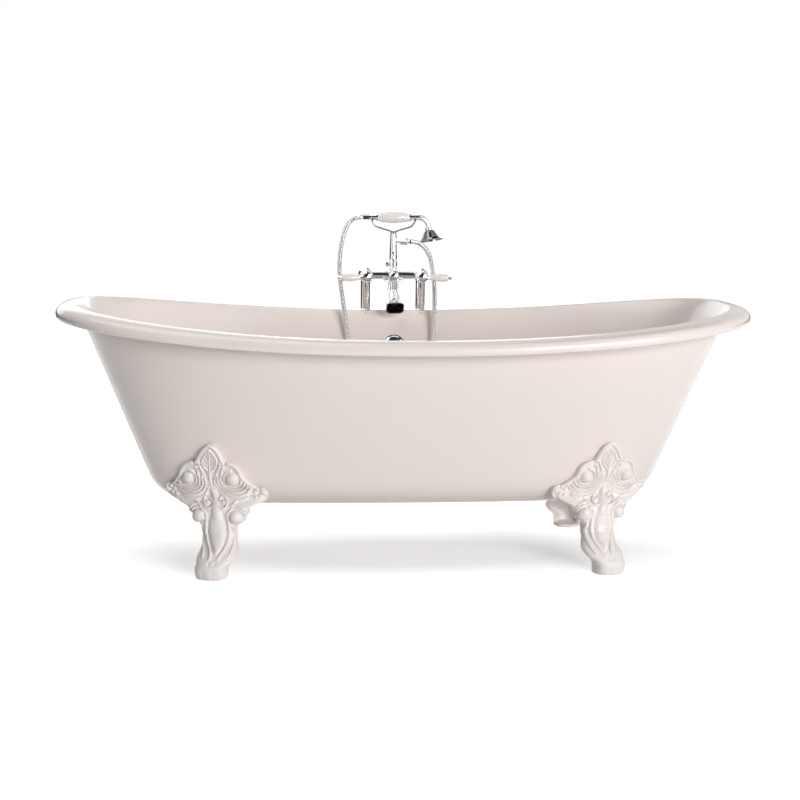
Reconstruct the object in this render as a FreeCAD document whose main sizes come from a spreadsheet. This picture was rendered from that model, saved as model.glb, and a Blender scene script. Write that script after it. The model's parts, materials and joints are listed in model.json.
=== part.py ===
import FreeCAD, Part
import Sketcher
import math
import os

# Cast iron roll-top bath on four cast feet, with a bath and shower mixer on its rim.
# Millimetres, +Z up, X along the bath, -Y towards the front, origin on the floor under the middle.

V = FreeCAD.Vector
UP = V(0, 0, 1)
FORWARD = V(0, -1, 0)
RIGHT = V(1, 0, 0)
LEFT = V(-1, 0, 0)

doc = FreeCAD.newDocument("roll_top_bath")
sheet = doc.addObject("Spreadsheet::Sheet", "sizes")

SIZES = (
    # bath casting
    ("rim_length", 1700, "length over the rolled rim"),
    ("rim_width", 800, "width over the rolled rim"),
    ("rim_height", 578, "floor to the rim's crest at mid length"),
    ("rim_rise", 56, "how much higher the crest is at the two ends"),
    ("rise_power", 2.1, "how late the crest rises towards the ends"),
    ("plan_power", 2.95, "squareness of the plan outline"),
    ("rim_reach", 45, "crest to the outer edge of the roll"),
    ("rim_depth", 32, "crest to the lip of the roll"),
    ("wall", 8, "thickness of the casting"),
    ("wall_setback", 17, "crest to the outer wall under the roll"),
    ("wall_top", 38, "crest down to where the straight wall starts"),
    ("flat_length", 1080, "length of the flat underside"),
    ("flat_width", 206, "width of the flat underside"),
    ("floor_round", 105, "outer radius between underside and wall"),
    ("underside", 147, "floor to the bath's underside"),
    # feet
    ("foot_x", 476, "sole centre from mid length"),
    ("foot_y", 236, "sole centre from the long middle plane"),
    ("foot_turn", 15, "degrees that a foot faces towards its end"),
    ("foot_skin", 11, "thickness of a foot's shield"),
    ("foot_gap", 0.4, "seat clearance between shield and bath"),
    ("foot_wall", 9, "thickness of the hollow leg"),
    ("shield_top", 313, "floor to the top of the leaf"),
    ("shield_sway", 18, "middle of the shield from the sole's, towards the bath's end"),
    ("volute_ball", 16, "radius of the balls on a foot's shield"),
    ("scroll_ball", 17, "radius of the balls on a foot's knee"),
    ("tab_root", 26, "sole centre in to the outer end of the bolting tab"),
    ("sole_width", 72, "width of the sole"),
    ("sole_depth", 66, "depth of the sole"),
    ("leg_width", 72, "width of the leg at its narrowest"),
    ("tab_top", 138, "floor to the face that carries the bath"),
    ("tab_thick", 11, "thickness of the bolting tab"),
    ("tab_width", 44, "width of the bolting tab"),
    ("tab_reach", 104, "sole centre in to the foot bolt"),
    ("boss_radius", 19, "radius of the cast boss over a foot bolt"),
    ("foot_bolt", 12, "foot bolt diameter"),
    ("foot_bolt_grip", 17, "foot bolt thread in the boss"),
    ("bolt_clear", 0.6, "clearance round a bolt in its hole"),
    ("washer_thick", 2, "thickness of the foot washers"),
    # waste and overflow
    ("waste_y", 52, "waste centre behind the long middle plane"),
    ("waste_bore", 26, "radius of the hole in the bath's floor"),
    ("waste_flange", 36, "radius of the waste's top flange"),
    ("waste_thread", 25, "radius of the waste's threaded tail"),
    ("waste_inner", 20, "radius of the waste's water way"),
    ("waste_tail", 34, "floor of the bath down to the end of the waste"),
    ("waste_free", 14, "bare thread at the end of the waste, for the trap"),
    ("plug_stem", 5, "radius of the plug's stem"),
    ("run_clear", 0.05, "radial running clearance of a shaft"),
    ("move_clear", 0.5, "gap between moving and fixed pieces"),
    ("overflow_height", 484, "floor to the overflow's centre on the outer wall"),
    ("overflow_face", 30, "radius of the overflow's face"),
    ("overflow_sleeve", 20, "radius of the overflow's threaded sleeve"),
    ("overflow_tail", 12, "outer radius of the overflow's tail"),
    ("overflow_tail_wall", 2, "wall of that tail"),
    ("overflow_tail_length", 34, "length of that tail under the overflow's drum"),
    ("overflow_free", 18, "bare length at that tail's end, for a hose"),
    ("seal_thick", 3, "thickness of the rubber seals"),
    # mixer
    ("tap_spacing", 150, "pillar centre to pillar centre"),
    ("tap_setout", 8, "pillar centre outside the crest line"),
    ("tap_seat", 1, "depth of the flat seats cut into the rim"),
    ("seat_iron", 6, "iron left between the two seats"),
    ("pillar", 12.5, "outer radius of a pillar"),
    ("pillar_bore", 9, "water way radius of a pillar"),
    ("pillar_height", 70, "seat to the top of a pillar"),
    ("pillar_foot", 15.5, "radius of a pillar's foot"),
    ("tail", 13, "radius of a threaded tail"),
    ("tail_length", 66, "seat down to the end of a tail"),
    ("tail_clear", 1, "clearance round a tail in the rim"),
    ("tail_free", 40, "length of a tail that a supply union covers"),
    ("tail_groove", 0.6, "depth of a thread's run-out groove"),
    ("groove_width", 2, "width of that groove"),
    ("bar_height", 95, "seat to the bar's axis"),
    ("bar_radius", 12, "radius of the bar"),
    ("bar_bore", 8, "water way radius of the bar"),
    ("valve", 19, "radius of a valve chamber"),
    ("valve_bore", 14, "inside radius of a valve chamber"),
    ("valve_front", 30, "pillar axis to the front of a valve chamber"),
    ("valve_back", 15, "pillar axis to the back of a valve chamber"),
    ("bonnet", 16, "length of a bonnet"),
    ("spindle", 6, "radius of a valve spindle"),
    ("hub", 11.5, "radius of a lever's hub"),
    ("hub_length", 27, "length of a lever's hub"),
    ("lever_start", 18, "valve axis to the lever's grip"),
    ("grip_length", 52, "length of a lever's grip"),
    ("grip_thick", 11.3, "largest radius of a lever's grip"),
    ("lever_tip", 10, "length of a lever's tip"),
    ("stud", 3, "radius of the stud through a lever's grip"),
    ("stud_clear", 0.2, "clearance round that stud"),
    ("lever_drop", 2, "bar's axis down to the lever's axis"),
    ("divert_chamber", 14.5, "radius of the middle chamber"),
    ("divert_front", 28, "pillar axis to the front of the middle chamber"),
    ("divert_bonnet", 10, "length of the diverter's bonnet"),
    ("divert_spindle", 4, "radius of the diverter's spindle"),
    ("divert_lever", 46, "length of the diverter's lever"),
    ("spout_reach", 74, "pillar axis forward to the middle of the mouth"),
    ("spout_drop", 83, "bar's axis down to the middle of the mouth"),
    ("spout_width", 50, "width of the mouth"),
    ("spout_tall", 40, "height of the mouth"),
    ("spout_neck", 13.5, "radius of the spout's neck"),
    ("spout_wall", 2.5, "wall of the spout"),
    # riser and cradle
    ("neck_top", 118, "seat to the top of the mixer's neck"),
    ("neck", 9.5, "radius of the mixer's neck"),
    ("collar", 11.2, "radius of the riser's collar"),
    ("collar_height", 14, "height of the riser's collar"),
    ("riser_spigot", 8, "radius of the riser's spigot in the collar"),
    ("riser_foot", 11.2, "radius of the riser at its foot"),
    ("riser_head", 8, "radius of the riser at its head"),
    ("riser_height", 78, "height of the tapered riser"),
    ("riser_bore", 5, "water way radius of the riser"),
    ("outlet_height", 188, "seat to the hose outlet's axis"),
    ("outlet_turn", 25, "degrees that the outlet points forward of +X"),
    ("outlet", 6.5, "radius of the hose outlet"),
    ("outlet_start", 7, "riser axis to the outlet's inner end"),
    ("outlet_length", 15, "length of the hose outlet"),
    ("nut_length", 16, "length of a hose nut"),
    ("nut_flats", 18, "hose nut across flats"),
    ("cradle_rod", 2.2, "radius of the cradle's rod"),
    ("cradle_disc", 8, "radius of the cradle's base disc"),
    ("cradle_disc_height", 6, "height of the cradle's base disc"),
    ("cradle_half", 58, "middle of the riser to each cradle hook"),
    # handset
    ("handset_height", 251, "seat to the handset's axis"),
    ("handset_tube", 8.5, "outer radius of the handset's tube"),
    ("handset_bore", 5, "water way radius of the handset"),
    ("handset_core", 6.5, "radius of the tube inside the grip"),
    ("core_clear", 0.1, "clearance round that tube"),
    ("grip_half", 43, "half the length of the handset's grip"),
    ("grip_middle", 15, "largest radius of the handset's grip"),
    ("grip_end", 10, "radius of the grip at its ends"),
    ("grip_collar", 4, "length of a grip collar"),
    ("grip_collar_radius", 11, "radius of a grip collar"),
    ("tail_end", 66, "middle of the grip to the end of the handset's tail"),
    ("bend_start", 66, "middle of the grip to the start of the bend"),
    ("bend_radius", 30, "radius of the bend in the handset's neck"),
    ("bend_turn", 81, "degrees of the bend in the handset's neck"),
    ("rose", 33, "radius of the rose"),
    ("rose_height", 37, "height of the rose with its nut"),
    ("rose_wall", 2, "wall of the rose's bell"),
    ("rose_plate", 2.5, "thickness of the rose's plate"),
    ("rose_hole", 1.2, "radius of a spray hole"),
    ("rose_nut", 10.5, "radius of the rose's nut"),
    ("rose_nut_length", 9, "length of the rose's nut"),
    # hose
    ("hose", 7, "outer radius of the hose over its ribs"),
    ("hose_valley", 6.3, "radius of the hose between ribs"),
    ("hose_bore", 4, "inner radius of the hose"),
    ("hose_ribs", 200, "number of ribs on the hose"),
)


class Size:
    """A size with its value and the sheet expression that gives it."""

    def __init__(self, value, text):
        self.value = float(value)
        self.text = text

    def __add__(self, other):
        other = as_size(other)
        return Size(self.value + other.value, "(%s + %s)" % (self.text, other.text))

    def __sub__(self, other):
        other = as_size(other)
        return Size(self.value - other.value, "(%s - %s)" % (self.text, other.text))

    def __mul__(self, other):
        other = as_size(other)
        return Size(self.value * other.value, "(%s * %s)" % (self.text, other.text))

    def __truediv__(self, other):
        other = as_size(other)
        return Size(self.value / other.value, "(%s / %s)" % (self.text, other.text))

    def __radd__(self, other):
        return as_size(other) + self

    def __rsub__(self, other):
        return as_size(other) - self

    def __rmul__(self, other):
        return as_size(other) * self

    def __neg__(self):
        return as_size(0) - self

    def __float__(self):
        return self.value


def as_size(number):
    if isinstance(number, Size):
        return number
    return Size(number, "%.9g" % number if number >= 0 else "(0 - %.9g)" % -number)


class Named:
    """Holds every size of the sheet under its own name."""


d = Named()
for row, (name, value, meaning) in enumerate(SIZES, start=1):
    sheet.set("A%d" % row, name)
    sheet.set("B%d" % row, str(value))
    sheet.set("C%d" % row, meaning)
    sheet.setAlias("B%d" % row, name)
    setattr(d, name, Size(value, "sizes." + name))
doc.recompute()

nodes = {}


def keep(node, thing):
    """Register a finished object as a sub-part."""
    thing.Label = node
    nodes[node] = thing
    return thing


def bind(thing, prop, size):
    thing.setExpression(prop, as_size(size).text)


def turn_to(direction):
    """Rotation that takes +Z to the given direction."""
    return FreeCAD.Rotation(UP, direction)


def put(thing, base, rotation=None):
    """Place an object, with each coordinate of its base bound to the sheet."""
    thing.Placement = FreeCAD.Placement(V(*[float(c) for c in base]), rotation or FreeCAD.Rotation())
    for letter, coordinate in zip("xyz", base):
        if isinstance(coordinate, Size):
            bind(thing, "Placement.Base." + letter, coordinate)
    return thing


def plane(body, role):
    for feature in body.Origin.OriginFeatures:
        if feature.Role == role:
            return feature


def draw(sketch, outline):
    """Closed outline of (across, along[, bulge]) corners; a bulge bows the side that follows."""
    corners = [(as_size(c[0]), as_size(c[1]), as_size(c[2]) if len(c) > 2 else None) for c in outline]
    count = len(corners)
    spots = [V(c[0].value, c[1].value, 0) for c in corners]
    lines = []
    for i in range(count):
        a = spots[i]
        b = spots[(i + 1) % count]
        if corners[i][2] is None:
            lines.append(sketch.addGeometry(Part.LineSegment(a, b), False))
            continue
        side = (b - a).cross(V(0, 0, 1)).normalize()
        middle = (a + b) * 0.5 + side * corners[i][2].value
        lines.append(sketch.addGeometry(Part.Arc(a, middle, b), False))
    ends = []
    for i in range(count):
        first = sketch.getPoint(lines[i], 1)
        ends.append((1, 2) if first.distanceToPoint(spots[i]) < 1e-6 else (2, 1))
    for i in range(count):
        j = (i + 1) % count
        sketch.addConstraint(Sketcher.Constraint("Coincident", lines[i], ends[i][1], lines[j], ends[j][0]))
    for i in range(count):
        across, along, bulge = corners[i]
        for kind, size, axis in (("DistanceX", across, -2), ("DistanceY", along, -1)):
            if abs(size.value) < 1e-9:
                sketch.addConstraint(Sketcher.Constraint("PointOnObject", lines[i], ends[i][0], axis))
                continue
            number = sketch.addConstraint(
                Sketcher.Constraint(kind, -1, 1, lines[i], ends[i][0], size.value))
            sketch.setExpression("Constraints[%d]" % number, size.text)
        if bulge is not None:
            j = (i + 1) % count
            wide = corners[j][0] - across
            tall = corners[j][1] - along
            bow = bulge if bulge.value > 0 else -bulge
            radius = ((wide * wide + tall * tall) / 4 + bow * bow) / (bow * 2)
            number = sketch.addConstraint(Sketcher.Constraint("Radius", lines[i], radius.value))
            sketch.setExpression("Constraints[%d]" % number, radius.text)


def turned(name, outline, base=(0, 0, 0), direction=UP):
    """A turned piece: outline of (radius, height[, bulge]) corners about its own axis."""
    body = doc.addObject("PartDesign::Body", name)
    sketch = body.newObject("Sketcher::SketchObject", name + "_outline")
    sketch.AttachmentSupport = [(plane(body, "XZ_Plane"), "")]
    sketch.MapMode = "FlatFace"
    draw(sketch, outline)
    turning = body.newObject("PartDesign::Revolution", name + "_turning")
    turning.Profile = sketch
    turning.ReferenceAxis = (sketch, ["V_Axis"])
    turning.Angle = 360
    return put(body, base, turn_to(direction))


def rod(name, radius, length, base, direction=UP):
    thing = doc.addObject("Part::Cylinder", name)
    bind(thing, "Radius", radius)
    bind(thing, "Height", length)
    return put(thing, base, turn_to(direction))


def taper(name, radius1, radius2, length, base, direction=UP):
    thing = doc.addObject("Part::Cone", name)
    bind(thing, "Radius1", radius1)
    bind(thing, "Radius2", radius2)
    bind(thing, "Height", length)
    return put(thing, base, turn_to(direction))


def ball(name, radius, base):
    thing = doc.addObject("Part::Sphere", name)
    bind(thing, "Radius", radius)
    return put(thing, base)


def block(name, length, width, height, base):
    thing = doc.addObject("Part::Box", name)
    bind(thing, "Length", length)
    bind(thing, "Width", width)
    bind(thing, "Height", height)
    return put(thing, base)


def hexagon(name, flats, height, base, direction=UP):
    thing = doc.addObject("Part::Prism", name)
    thing.Polygon = 6
    bind(thing, "Circumradius", as_size(flats) / as_size(math.sqrt(3)))
    bind(thing, "Height", height)
    return put(thing, base, turn_to(direction))


def fused(name, things):
    thing = doc.addObject("Part::MultiFuse", name)
    thing.Shapes = things
    return thing


def without(name, base, tools):
    thing = doc.addObject("Part::Cut", name)
    thing.Base = base
    thing.Tool = tools[0] if len(tools) == 1 else fused(name + "_tools", tools)
    return thing


def group(name, things):
    thing = doc.addObject("Part::Compound", name)
    thing.Links = things
    return thing


def made(name, shape):
    """A piece whose shape is worked out directly from the sizes."""
    thing = doc.addObject("Part::Feature", name)
    thing.Shape = shape
    return thing


# Bath casting. Every ring is one closed curve round the plan, from the flat underside up the
# outer wall, under the hollow roll, round its lip, over the crest and down the inner wall.

PLAN_POINTS = 48
REST = math.radians(68)
crest_long = float(d.rim_length / 2 - d.rim_reach)
crest_wide = float(d.rim_width / 2 - d.rim_reach)


def on_plan(half_long, half_wide, t):
    c = math.cos(t)
    s = math.sin(t)
    power = d.plan_power.value
    k = (abs(c) ** power + abs(s) ** power) ** (1 / power)
    return half_long * c / k, half_wide * s / k


def crest_at(x):
    return d.rim_height.value + d.rim_rise.value * (abs(x) / crest_long) ** d.rise_power.value


def closed_curve(points):
    curve = Part.BSplineCurve()
    curve.interpolate(points, PeriodicFlag=True)
    return Part.Wire([curve.toShape()])


def turns():
    return [2 * math.pi * i / PLAN_POINTS for i in range(PLAN_POINTS)]


def rim_ring(out, drop):
    """Ring at a distance outside the crest line and below the crest."""
    points = []
    for t in turns():
        x, y = on_plan(crest_long + out, crest_wide + out, t)
        crest_x = on_plan(crest_long, crest_wide, t)[0]
        points.append(V(x, y, crest_at(crest_x) - drop))
    return closed_curve(points)


def round_ring(angle, offset):
    """Ring on the rounded edge between floor and wall; offset is outward from the outer face."""
    radius = d.floor_round.value + offset
    half_long = d.flat_length.value / 2 + radius * math.sin(angle)
    half_wide = d.flat_width.value / 2 + radius * math.sin(angle)
    height = d.underside.value + d.floor_round.value - radius * math.cos(angle)
    points = []
    for t in turns():
        x, y = on_plan(half_long, half_wide, t)
        points.append(V(x, y, height))
    return closed_curve(points)


def wall_top_ring(offset):
    return rim_ring(-d.wall_setback.value + offset / math.sin(REST), d.wall_top.value)


def wall_at(height, offset=0.0):
    """Half width of the straight side wall at mid length and a given height."""
    radius = d.floor_round.value + offset
    low = d.underside.value + d.floor_round.value - radius * math.cos(REST)
    low_half = d.flat_width.value / 2 + radius * math.sin(REST)
    high = d.rim_height.value - d.wall_top.value
    high_half = crest_wide - d.wall_setback.value + offset / math.sin(REST)
    return low_half + (high_half - low_half) * (height - low) / (high - low)


def wall_lean():
    """Angle of the straight side wall from upright at mid length."""
    rise = 100.0
    return math.atan((wall_at(400 + rise) - wall_at(400)) / rise)


ROLL = ((0.25, 0.01), (0.5, 0.05), (0.72, 0.13), (0.87, 0.25), (0.96, 0.42), (1.0, 0.66), (0.97, 0.9))
STEPS = [REST * k / 6 for k in range(7)]


def bath_body(offset, height_over):
    """The outer form of the bath below its roll, grown by an offset, as one solid."""
    rings = [round_ring(a, offset) for a in STEPS]
    rings.append(wall_top_ring(offset))
    if height_over:
        rings.append(rim_ring(-d.wall_setback.value + offset, -height_over))
    return Part.makeLoft(rings, True, True)


def bath_loft():
    wall = d.wall.value
    reach = d.rim_reach.value
    depth = d.rim_depth.value
    back = d.wall_setback.value
    rings = [round_ring(a, 0) for a in STEPS]
    rings.append(wall_top_ring(0))
    rings.append(rim_ring(-back + 0.5, wall + 14))
    rings.append(rim_ring(-back + 3, wall + 6))
    rings.append(rim_ring(-back + 8, wall + 2))
    rings.append(rim_ring(-back + 15, wall + 0.3))
    inside = (reach - wall) / reach
    for out, down in ROLL:
        rings.append(rim_ring(out * reach * inside, wall + down * depth * (depth - wall) / depth))
    rings.append(rim_ring(reach * 0.84 * inside, depth))
    rings.append(rim_ring(reach * 0.86, depth))
    for out, down in reversed(ROLL):
        rings.append(rim_ring(out * reach, down * depth))
    rings.append(rim_ring(0, 0))
    inner = back + wall / math.sin(REST)
    corner = inner - d.wall_top.value / math.tan(REST)
    for k in range(1, 6):
        t = k / 6
        rings.append(rim_ring(-2 * t * (1 - t) * corner - t * t * inner, t * t * d.wall_top.value))
    rings.append(wall_top_ring(-wall))
    for a in reversed(STEPS):
        rings.append(round_ring(a, -wall))
    return Part.makeLoft(rings, True, True)


tap_y = d.rim_width / 2 - d.rim_reach + d.tap_setout
seat_z = d.rim_height - d.tap_seat
under_seat_z = seat_z - d.seat_iron
bar_z = seat_z + d.bar_height
half_taps = d.tap_spacing / 2
floor_z = d.underside + d.wall

foot_angle = math.radians(d.foot_turn.value)
foot_out = V(math.sin(foot_angle), math.cos(foot_angle), 0)
foot_along = V(math.cos(foot_angle), -math.sin(foot_angle), 0)
foot_centre = V(d.foot_x.value, d.foot_y.value, 0)


def foot_point(along, out, height):
    """Point in the frame of the foot at +X, +Y: along its face, out from the sole centre, up."""
    return foot_centre + foot_along * along + foot_out * out + V(0, 0, height)


CORNERS = ((1, 1), (-1, 1), (1, -1), (-1, -1))
bolt_spot = foot_point(0, -d.tab_reach.value, 0)
bolt_spots = [V(bolt_spot.x * i, bolt_spot.y * j, 0) for i, j in CORNERS]

lean = wall_lean()
overflow_in = V(0, -math.cos(lean), math.sin(lean))
overflow_spot = V(0, wall_at(d.overflow_height.value), d.overflow_height.value)


def shell_shape():
    shape = bath_loft()
    hollow = bath_body(-d.wall.value * 0.6, 0)
    for spot in bolt_spots:
        boss = Part.makeCylinder(d.boss_radius.value, 70, V(spot.x, spot.y, d.tab_top.value))
        shape = shape.fuse(boss.cut(hollow))
    cutters = []
    for spot in bolt_spots:
        cutters.append(Part.makeCylinder(d.foot_bolt.value / 2 + 0.05, d.foot_bolt_grip.value,
                                         V(spot.x, spot.y, d.tab_top.value)))
    seat_radius = d.pillar_foot.value + 1
    nut_room = d.tail.value + d.tail_clear.value + 7
    for x in (-half_taps.value, half_taps.value):
        y = tap_y.value
        cutters.append(Part.makeCylinder((d.tail + d.tail_clear).value, 60, V(x, y, seat_z.value - 40)))
        cutters.append(Part.makeCylinder(seat_radius, 12, V(x, y, seat_z.value)))
        cutters.append(Part.makeCylinder(nut_room, 26, V(x, y, under_seat_z.value - 26)))
    cutters.append(Part.makeCylinder(d.waste_bore.value, 3 * d.wall.value,
                                     V(0, d.waste_y.value, d.underside.value - d.wall.value)))
    cutters.append(Part.makeCylinder(d.overflow_sleeve.value + d.tail_clear.value, 4 * d.wall.value,
                                     overflow_spot - overflow_in * (1.5 * d.wall.value), overflow_in))
    return shape.cut(cutters)


keep("bath_shell", made("bath_shell", shell_shape()))

# Feet. One hollow cast foot with a leafed shield against the bath, and its three mirror images.

SHIELD = ((0, 313), (8, 311), (16, 306), (23, 297), (29, 286), (34, 275), (38, 266), (50, 266),
          (60, 263), (69, 257), (75, 248), (78, 239), (82, 230), (89, 221), (98, 212), (107, 205),
          (114, 202), (121, 203), (126, 199), (127, 192), (122, 184), (112, 177), (92, 171), (77, 163))
# Height, sway towards the bath's end, distance out, width and depth of the leg.
LEG = ((222, 17, -76, 100, 40), (205, 14, -68, 112, 48), (190, 9, -62, 122, 56), (170, 1, -57, 120, 62),
       (150, -6, -54, 116, 66), (133, -6, -52, 100, 62), (122, -6, -50, 88, 58), (105, -6, -46, 77, 54),
       (92, -7, -42, 76, 53), (76, -8, -30, 78, 54), (60, -10, -14, 84, 58), (47, -9, -3, 84, 64),
       (36, -5, 3, 80, 70), (22, 0, 4, 78, 71), (6, 0, 1, 74, 68), (0, 0, 0, 70, 64))
LEG_POINTS = 16


def leg_ring(height, sway, out, wide, deep):
    points = []
    for i in range(LEG_POINTS):
        t = 2 * math.pi * i / LEG_POINTS
        c = math.cos(t)
        s = math.sin(t)
        k = (abs(c) ** 2.6 + abs(s) ** 2.6) ** (1 / 2.6)
        points.append(foot_point(sway + wide / 2 * c / k, out + deep / 2 * s / k, height))
    return closed_curve(points)


def foot_shape():
    gap = d.foot_gap.value
    skin = d.foot_skin.value
    lift = d.shield_top.value - SHIELD[0][1]
    sway = d.shield_sway.value
    edge = [(x, z + lift) for x, z in SHIELD]
    edge += [(-x, z) for x, z in reversed(edge[1:])]
    corners = [foot_point(x + sway, -190, z) for x, z in edge]
    face = Part.Face(Part.makePolygon(corners + corners[:1]))
    prism = face.extrude(foot_out * 260)
    bath_clear = bath_body(gap, 0)
    shield = prism.common(bath_body(gap + skin, 0)).cut(bath_clear)

    wide = d.leg_width.value / 70.0
    sole_wide = d.sole_width.value / 74.0
    sole_deep = d.sole_depth.value / 68.0
    outer = []
    inner = []
    for height, aside, out, width, depth in LEG:
        low = height < 40
        width = width * (sole_wide if low else wide)
        depth = depth * (sole_deep if low else 1.0)
        outer.append(leg_ring(height, aside, out, width, depth))
        if height > 8:
            wall = d.foot_wall.value
            inner.append(leg_ring(height + (6 if height > 220 else 0), aside, out - wall,
                                  width - 2 * wall, depth - 1))
    leg = Part.makeLoft(outer, True, True)
    leg = leg.cut(bath_clear)
    leg = leg.cut(Part.makeLoft(inner, True, True))

    tab_low = d.tab_top.value - d.tab_thick.value
    half_tab = d.tab_width.value / 2
    inner_end = -d.tab_reach.value - half_tab
    outer_end = -d.tab_root.value
    tab_edge = [foot_point(-half_tab, inner_end, tab_low), foot_point(half_tab, inner_end, tab_low),
                foot_point(half_tab, outer_end, tab_low), foot_point(-half_tab, outer_end, tab_low)]
    tab = Part.Face(Part.makePolygon(tab_edge + tab_edge[:1])).extrude(UP * d.tab_thick.value)

    bosses = []
    for side in (-1, 1):
        bosses.append(Part.makeSphere(d.volute_ball.value, on_shield(sway + side * 54, 226)))
        bosses.append(Part.makeSphere(d.scroll_ball.value, foot_point(side * 44 - 6, -34, 141)))
    shape = shield.fuse([leg, tab] + bosses)
    shape = shape.cut(bath_clear)
    hole = Part.makeCylinder(d.foot_bolt.value / 2 + d.bolt_clear.value, 40,
                             V(bolt_spot.x, bolt_spot.y, tab_low - 10))
    boss_foot = V(bolt_spot.x, bolt_spot.y, d.tab_top.value)
    boss_room = Part.makeCylinder(d.boss_radius.value + gap, 90, boss_foot)
    return shape.cut([hole, boss_room]).removeSplitter()


def on_shield(along, height):
    """Point just under the outer face of the shield, found by stepping in towards the bath."""
    face = bath_body(d.foot_gap.value + d.foot_skin.value - 2, 0)
    spot = foot_point(along, 0, height)
    while not face.isInside(spot, 1e-3, True) and spot.Length > d.flat_length.value / 4:
        spot = spot - foot_out
    return spot


foot_back_right = keep("foot_back_right", made("foot_back_right", foot_shape()))


def mirrored(node, source, normal):
    thing = doc.addObject("Part::Mirroring", node)
    thing.Source = source
    thing.Base = V(0, 0, 0)
    thing.Normal = normal
    return keep(node, thing)


foot_back_left = mirrored("foot_back_left", foot_back_right, RIGHT)
mirrored("foot_front_right", foot_back_right, FORWARD)
mirrored("foot_front_left", foot_back_left, FORWARD)

tab_low = d.tab_top - d.tab_thick
bolt_radius = d.foot_bolt / 2
washer_radius = bolt_radius * 2
bolt_head = d.foot_bolt * 0.65
bolt_list = []
washer_list = []
for number, spot in enumerate(bolt_spots):
    washer_list.append(turned("foot_washer_%d" % number, (
        (bolt_radius + d.bolt_clear, 0), (washer_radius, 0), (washer_radius, d.washer_thick),
        (bolt_radius + d.bolt_clear, d.washer_thick)), (spot.x, spot.y, tab_low - d.washer_thick)))
    head = hexagon("foot_bolt_head_%d" % number, d.foot_bolt * 1.5, bolt_head,
                   (spot.x, spot.y, tab_low - d.washer_thick - bolt_head))
    shank = rod("foot_bolt_shank_%d" % number, bolt_radius,
                bolt_head + d.washer_thick + d.tab_thick + d.foot_bolt_grip - 1,
                (spot.x, spot.y, tab_low - d.washer_thick - bolt_head))
    bolt_list.append(fused("foot_bolt_%d" % number, [head, shank]))
keep("foot_washers", group("foot_washers", washer_list))
keep("foot_bolts", group("foot_bolts", bolt_list))

# Waste in the bath's floor, with the pop-up plug in it.

waste_low = floor_z - d.waste_tail
flange_thick = as_size(3)
wx = 0
wy = d.waste_y

waste_ring = turned("waste_ring", (
    (d.waste_inner, 0), (d.waste_thread, 0), (d.waste_thread, d.waste_free),
    (d.waste_thread - d.tail_groove, d.waste_free),
    (d.waste_thread - d.tail_groove, d.waste_free + d.groove_width),
    (d.waste_thread, d.waste_free + d.groove_width), (d.waste_thread, d.waste_tail),
    (d.waste_flange, d.waste_tail), (d.waste_flange, d.waste_tail + 1.5),
    (d.waste_flange - 4, d.waste_tail + flange_thick),
    (d.waste_inner + 3, d.waste_tail + flange_thick), (d.waste_inner, d.waste_tail - 1)),
    (wx, wy, waste_low))
bar_thick = as_size(4)
bars = []
bar_length = d.waste_inner * 2 + 2
for number, (length, width) in enumerate(((bar_length, bar_thick), (bar_thick, bar_length))):
    bars.append(block("waste_bar_%d" % number, length, width, bar_thick,
                      (-length / 2, wy - width / 2, floor_z - 16)))
hub = rod("waste_hub", d.plug_stem + 3, bar_thick + 6, (wx, wy, floor_z - 19))
hub_bore = rod("waste_hub_bore", d.plug_stem + d.run_clear, 60, (wx, wy, floor_z - 40))
waste_solid = fused("waste_flange_solid", [waste_ring] + bars + [hub])
keep("waste_flange", without("waste_flange", waste_solid, [hub_bore]))
keep("waste_seal", turned("waste_seal", (
    (d.waste_thread + 0.2, 0), (d.waste_flange - 2, 0), (d.waste_flange - 2, d.seal_thick),
    (d.waste_thread + 0.2, d.seal_thick)), (wx, wy, d.underside - d.seal_thick)))
nut_high = as_size(8)
waste_nut = hexagon("waste_nut_hex", d.waste_thread * 2 + 16, nut_high,
                    (wx, wy, d.underside - d.seal_thick - nut_high))
waste_nut_bore = rod("waste_nut_bore", d.waste_thread + 0.1, 60, (wx, wy, d.underside - 50))
keep("waste_locknut", without("waste_locknut", waste_nut, [waste_nut_bore]))

plug_base = floor_z - 26
keep("waste_plug", turned("waste_plug", (
    (0, 0), (d.plug_stem, 0), (d.plug_stem, 24.5), (d.waste_inner - 4, 24.5), (d.waste_inner - 4, 28.5),
    (d.waste_inner + 1, 28.5), (d.waste_inner + 1, 30), (0, 34)), (wx, wy, plug_base)))
keep("plug_seal", turned("plug_seal", (
    (d.waste_inner - 4, 0), (d.waste_inner - 0.6, 0), (d.waste_inner - 0.6, 3.6), (d.waste_inner - 4, 3.6)),
    (wx, wy, plug_base + 24.7)))

# Overflow on the far wall: face and turning knob inside, elbow and pipe outside.

face_start = overflow_spot + overflow_in * (d.wall.value + 0.3)
elbow_start = overflow_spot - overflow_in * (d.seal_thick.value + 0.3)
sleeve_length = d.wall + d.seal_thick + 0.6 + 14


def along_overflow(start):
    return (start.x, start.y, start.z)


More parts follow.
